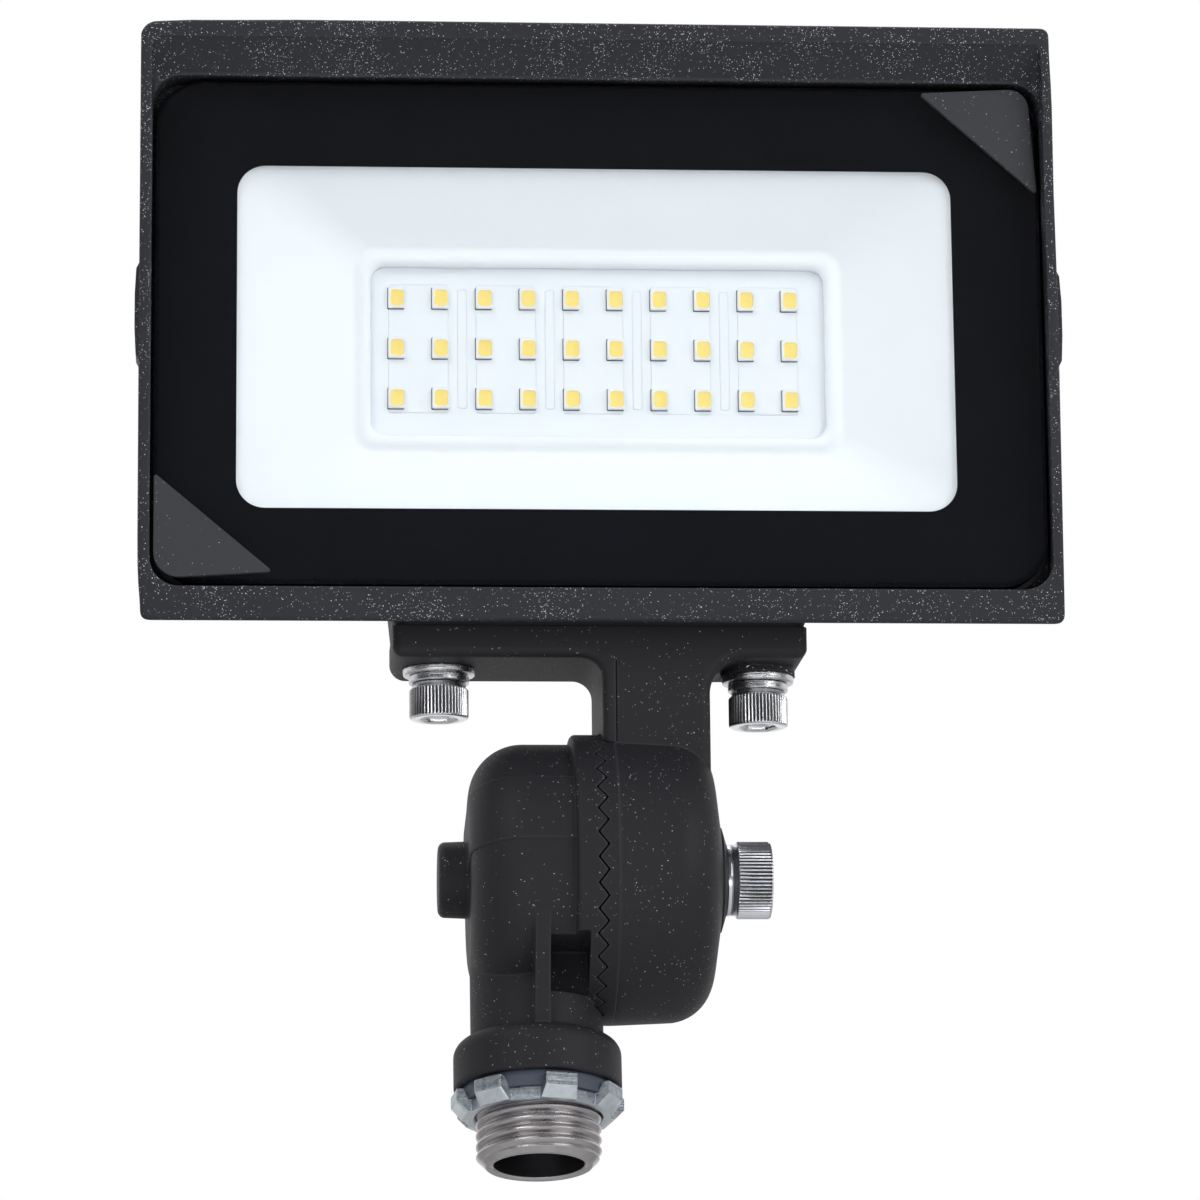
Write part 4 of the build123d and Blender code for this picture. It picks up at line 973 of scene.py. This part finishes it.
def makePipeNipple(look):
    bm = bmesh.new()
    pitch, segments, rowsPerTurn = look["pitch"], look["segments"], look["rowsPerTurn"]
    top, bore, end, plain = look["threadTop"], look["bore"], look["endRadius"], look["plainRadius"]
    slope = (look["radius"] - end) / look["endRise"]
    grid = []
    for row in range(int((top + 2 * pitch) / pitch * rowsPerTurn) + 1):
        away = abs((row / rowsPerTurn + look["startTurn"]) % 1.0 - 0.5) * 2   # 0 on a crest, 1 in the root
        thread = look["radius"] - look["depth"] * away ** look["crestCurve"]
        line = []
        for segment in range(segments + 1):
            turn = segment / segments
            height = min(max(-pitch + row * pitch / rowsPerTurn + pitch * turn, 0.0), top)
            radius = plain if height >= top else min(thread, end + slope * height)
            line.append(polar(radius, 2 * math.pi * turn, height))
        grid.append(line)
    ringFaces(bm, grid, 0, around=False)
    # End face, bore and the plain top inside the collar
    ease, length = 0.35, look["length"]
    profile = ((end, 0.0), (bore + ease, 0.0), (bore, ease), (bore, length), (plain, length), (plain, top))
    ringFaces(bm, [circle(r, z, segments) for r, z in profile])
    # The bore is drawn near black: painted shade inside the hole
    for face in bm.faces:
        face.material_index = 1 if face.calc_center_median().xy.length < bore + 0.1 else 0
    finishes, stands = [nippleSteel, grooveShadeBlack], ["threaded_nipple"]
    makePiece("pipeNipple", bm, inRow, finishes, "knuckle_base", stands, sharp=28, weld=0.02)


# Locknut: a stamped ring with eight lugs bent up from its rim, unevenly spaced
lockRing = {
    "bore": 10.45, "rim": 12.15, "low": 8.0, "high": 10.3, "wave": 0.07, "burr": 0.16, "segments": 240,
    "lugFace": 13.95, "lugTurns": (-28.0, -77.0, -129.0, -172.0, 146.0, 102.0, 59.0, 15.0), "lugWidth": 5.3,
    "lugProfile": (
        (11.5, 8.02), (12.3, 8.1), (14.12, 9.9), (14.18, 10.05), (14.2, 11.85), (14.1, 12.0),
        (13.1, 12.0), (12.9, 11.7), (12.5, 10.6), (11.5, 10.2),
    ),
    "lugStations": (-0.5, -0.46, -0.32, -0.16, 0.0, 0.16, 0.32, 0.46, 0.5), "roughness": 0.07,
    "lugReach": 14.2, "lugTop": 12.3,
}


def makeLockRing(look):
    bm = bmesh.new()
    low, high, rim, bore = look["low"], look["high"], look["rim"], look["bore"]
    profile = [
        (bore, low + 0.5, 0), (bore + 0.35, low + 0.06, 0), (bore + 0.7, low, 0), (rim - 0.5, low, 0),
        (rim - 0.15, low + 0.12, 0.3), (rim, low + 0.45, 1), (rim, (low + high) / 2, 1), (rim, high - 0.2, 1),
        (rim - 0.15, high, 0.6), (bore + 0.5, high, 0), (bore, high - 0.5, 0),
    ]
    rings = []
    for radius, height, rough in profile:
        torn = height > high - 0.3 and rough
        ring = []
        for i in range(look["segments"]):
            a = 2 * math.pi * i / look["segments"]
            wave = fractal.noise(Vector(polar(60, a, height * 0.6)))
            burr = fractal.noise(Vector(polar(14, a, 5.0)))
            rise = look["burr"] * burr - 0.05 if torn else 0
            ring.append(polar(radius + rough * look["wave"] * wave, a, height + rise))
        rings.append(ring)
    ringFaces(bm, rings, endless=True)
    # The rim wall: sheared zinc drawn darker, part painted shade
    for face in bm.faces:
        face.material_index = 1 if face.calc_center_median().xy.length > rim - 0.3 else 0
    for turn in look["lugTurns"]:
        spin = Matrix.Rotation(math.radians(turn), 4, "Z")
        sections = []
        for station in look["lugStations"]:
            end = abs(station) == 0.5
            section = []
            for index, (r, z) in enumerate(look["lugProfile"]):
                shake = fractal.noise(Vector((turn + station * 9, index * 1.7, r))) * look["roughness"]
                outer = 0.12 if end and r > 12 else 0.0
                flare = 1.0 + 0.16 * easeIn(-r, -13.6, -11.8)
                out = min(r + shake - outer, look["lugReach"])
                up = min(max(z + shake * 0.6, low + 0.01), look["lugTop"])
                section.append(tuple(spin @ Vector((out, station * look["lugWidth"] * flare, up))))
            sections.append(section)
        fillEnds(bm, ringFaces(bm, sections), 1)
        bm.faces.ensure_lookup_table()
        for face in bm.faces[-(len(sections) - 1) * len(section) - 2:-2]:
            if face.calc_center_median().xy.length > look["lugFace"]:
                face.material_index = 1
    makePiece("lockRing", bm, inRow, [zincPlate, shearedZincAndShade], "locknut", ["locknut"], sharp=24)


quarterTurn = Matrix.Rotation(math.radians(90), 4, "Y")


# Cap head with straight knurling, drawn with its bearing face at z = 0 and its socket at the top
def addCapHead(bm, look, segmentsPerKnurl=4):
    count = look["knurls"] * segmentsPerKnurl
    turns = [2 * math.pi * i / count for i in range(count)]
    rise, r, d = look["height"], look["radius"], look["knurlDepth"]
    sixth = math.pi / 3
    hexReach = look["socket"] / math.sqrt(3)

    def knurled(radius, height, depth):
        cuts = (0.0, 0.75, 1.0, 0.75)
        return [polar(radius - cuts[i % segmentsPerKnurl] * depth, a, height) for i, a in enumerate(turns)]

    def hexRing(scale, height):
        reaches = [hexReach * math.cos(math.pi / 6) / math.cos(a % sixth - math.pi / 6) for a in turns]
        return [polar(reach * scale, a, height) for reach, a in zip(reaches, turns)]

    collar = look["collar"]
    rings = [
        knurled(look["shank"], 0.0, 0.0),
        knurled(r - 0.55, 0.0, 0.0),
        knurled(r - 0.42, 0.12, 0.0),
        knurled(r - 0.42, collar - 0.25, 0.0),
        knurled(r - 0.10, collar, d * 0.3),
        knurled(r, collar + 0.14, d),
        knurled(r, rise - 0.50, d),
        knurled(r - 0.06, rise - 0.25, d * 0.55),
        knurled(r - 0.22, rise - 0.08, 0.0),
        knurled(r - 0.50, rise, 0.0),
        knurled(hexReach + 0.40, rise, 0.0),
        hexRing(1.03, rise - 0.25),
        hexRing(1.0, rise - 0.5),
        hexRing(1.0, rise - look["socketDepth"]),
        knurled(0.4, rise - look["socketDepth"] - 0.7, 0.0),
    ]
    made = ringFaces(bm, rings)
    bm.faces.ensure_lookup_table()
    for row in (4, 5, 6):   # the grooves get a near-black finish, painted shade in the knurl
        for i in range(count):
            bm.faces[row * count + i].material_index = 1 if i % segmentsPerKnurl in (1, 2) else 0
    fillRing(bm, made[-1])
    return made[0]


# Round shank below a head's bearing ring, with a chamfered tip
def addShank(bm, seat, look):
    length, chamfer, taper = look["length"], look["tipChamfer"], look["tipTaper"]
    tip = [bm.verts.new((v.co.x, v.co.y, chamfer - length)) for v in seat]
    end = [bm.verts.new((v.co.x * taper, v.co.y * taper, -length)) for v in seat]
    bridge(bm, tip, seat)
    bridge(bm, end, tip)
    fillRing(bm, end)


pivotBolt = {
    "radius": 6.5, "height": 6.8, "knurls": 62, "knurlDepth": 0.36, "collar": 1.1,
    "socket": 6.0, "socketDepth": 4.0, "shank": 4.0, "length": 46.4, "tipChamfer": 0.5, "tipTaper": 0.88,
    "headX": 33.0,
}


def makePivotBolt(look):
    bm = bmesh.new()
    addShank(bm, addCapHead(bm, look), look)
    onAxis = atPivot @ Matrix.Translation((look["headX"], 0, 0)) @ quarterTurn
    finishes = [boltSteel, grooveShadeBlack]
    makePiece("pivotBolt", bm, onAxis, finishes, "pivot_bolt", ["pivot_bolt"], sharp=50)


bracketScrew = {
    "radius": 5.0, "height": 6.0, "knurls": 50, "knurlDepth": 0.32, "collar": 1.0,
    "socket": 5.0, "socketDepth": 3.0, "shank": 3.0, "length": 16.0, "tipChamfer": 0.4, "tipTaper": 0.86,
    "places": ((-15.9, 33.4), (38.2, 32.2)),
}


def makeBracketScrews(look):
    bm = bmesh.new()
    for x, seatZ in look["places"]:
        part = bmesh.new()
        addShank(part, addCapHead(part, look), look)
        part.transform(Matrix.Translation((x, 0, seatZ)) @ Matrix.Rotation(math.radians(180), 4, "X"))
        held = bpy.data.meshes.new("screwPart")
        part.to_mesh(held)
        part.free()
        bm.from_mesh(held)
        bpy.data.meshes.remove(held)
    finishes = [screwSteel, grooveShadeBlack]
    makePiece("bracketScrews", bm, inHead, finishes, "head", ["bracket_screws"], sharp=50)


# Split spring washers, drawn round z with the cut at the given angle
def addSplitWasher(bm, inner, outer, thickness, low, cutAt, place, lift=0.12, segments=72):
    gap, edge = math.radians(7), 0.15
    t = thickness - lift
    rings = []
    for i in range(segments + 1):
        a = math.radians(cutAt) + gap / 2 + (2 * math.pi - gap) * i / segments
        foot = low + lift * i / segments
        section = [
            (inner, foot), (outer - edge, foot), (outer, foot + edge),
            (outer, foot + t - edge), (outer - edge, foot + t), (inner, foot + t),
        ]
        rings.append([tuple(place @ Vector(polar(r, a, z))) for r, z in section])
    fillEnds(bm, ringFaces(bm, rings))


springWashers = {
    "inner": 3.05, "outer": 5.1, "thickness": 1.4, "places": ((-15.9, 33.4, -28.0), (38.2, 32.2, 205.0)),
    "pivotInner": 4.05, "pivotOuter": 6.1, "pivotThickness": 0.9, "pivotX": 32.1, "pivotCut": 160.0,
}


def makeSpringWashers(look):
    bm = bmesh.new()
    inner, outer, thickness = look["inner"], look["outer"], look["thickness"]
    for x, low, cut in look["places"]:
        addSplitWasher(bm, inner, outer, thickness, low, cut, Matrix.Translation((x, 0, 0)))
    stands = ["bracket_spring_washers"]
    makePiece("bracketSpringWashers", bm, inHead, [washerSteel], "head", stands, sharp=40)
    bm = bmesh.new()
    inner, outer, thickness = look["pivotInner"], look["pivotOuter"], look["pivotThickness"]
    onAxis = Matrix.Translation((look["pivotX"], 0, 0)) @ quarterTurn
    addSplitWasher(bm, inner, outer, thickness, 0.0, look["pivotCut"], onAxis, 0.08)
    stands = ["pivot_spring_washer"]
    makePiece("pivotSpringWasher", bm, atPivot, [boltSteel], "pivot_bolt", stands, sharp=40)


flatWashers = {
    "inner": 3.3, "outer": 6.1, "thickness": 1.2, "edge": 0.22, "segments": 72,
    "places": ((-15.9, 34.8), (38.2, 33.6)),
}


def makeFlatWashers(look):
    bm = bmesh.new()
    e, inner, outer, thick = look["edge"], look["inner"], look["outer"], look["thickness"]
    profile = [
        (inner, 0.0), (outer - 2 * e, 0.0), (outer - 0.4 * e, 0.5 * e), (outer, 1.8 * e),
        (outer, thick - 0.6 * e), (outer - 0.6 * e, thick), (inner, thick),
    ]
    for x, low in look["places"]:
        rings = [[(px + x, py, pz + low) for px, py, pz in circle(r, z, look["segments"])] for r, z in profile]
        ringFaces(bm, rings, endless=True)
    stands = ["bracket_flat_washers"]
    makePiece("bracketFlatWashers", bm, inHead, [washerSteel], "head", stands, sharp=40)


# Paint crushed out of the right screw's seat
seatPaint = {
    "centreX": 38.2, "low": 34.85, "high": 35.95, "radius": 6.25, "wall": 0.6, "shake": 0.28, "curl": 0.22,
    "segments": 150, "rows": 7, "edge": 0.05,
}


def makeSeatPaint(look):
    bm = bmesh.new()
    x, radius, segments, last = look["centreX"], look["radius"], look["segments"], look["rows"] - 1
    heights = [look["low"] + (look["high"] - look["low"]) * row / last for row in range(last + 1)]
    outer = []
    for row, height in enumerate(heights):
        ring = []
        for i in range(segments):
            a = 2 * math.pi * i / segments
            shake = fractal.noise(Vector(polar(9, a, row * 0.9))) * look["shake"]
            curl = fractal.noise(Vector(polar(16, a, 7.0))) * look["curl"] if 0 < row < last else 0
            px, py, pz = polar(radius + shake, a, height + curl)
            ring.append((x + px, py, pz))
        outer.append(ring)
    bore = radius - look["wall"]
    inner = [[(px + x, py, pz) for px, py, pz in circle(bore, z, segments)] for z in (heights[-1], heights[0])]
    ringFaces(bm, outer + inner, endless=True)
    bm.faces.ensure_lookup_table()
    for face in bm.faces:
        here = face.calc_center_median()
        chip = abs(fractal.noise(Vector((here.x * 0.7, here.y * 0.7, here.z * 1.3))))
        face.material_index = 1 if chip < look["edge"] else 0
    makePiece("seatPaint", bm, inHead, [knucklePaint, washerSteel], "head", sharp=20)


makeHousingShell(housingShell)
makeCornerClip("upperClip", cornerClip, cornerClip["upper"], "corner_clip_upper")
makeCornerClip("lowerClip", cornerClip, cornerClip["lower"], "corner_clip_lower")
print("housing and clips made")
makeFrontPane(frontPane)
makeReflectorDish(reflectorDish)
makeBoardTracks(boardTracks)
makeLedPackages(ledPackage)
print("glass, reflector, board and LEDs made")
makePipeNipple(pipeNipple)
makeLockRing(lockRing)
makePivotBolt(pivotBolt)
makeBracketScrews(bracketScrew)
makeSpringWashers(springWashers)
makeFlatWashers(flatWashers)
makeSeatPaint(seatPaint)
print("nipple, bolts and washers made")

makeCamera(cameraView)
makeStudio(studio)
scene.view_settings.view_transform = "Standard"
print("camera and studio made")
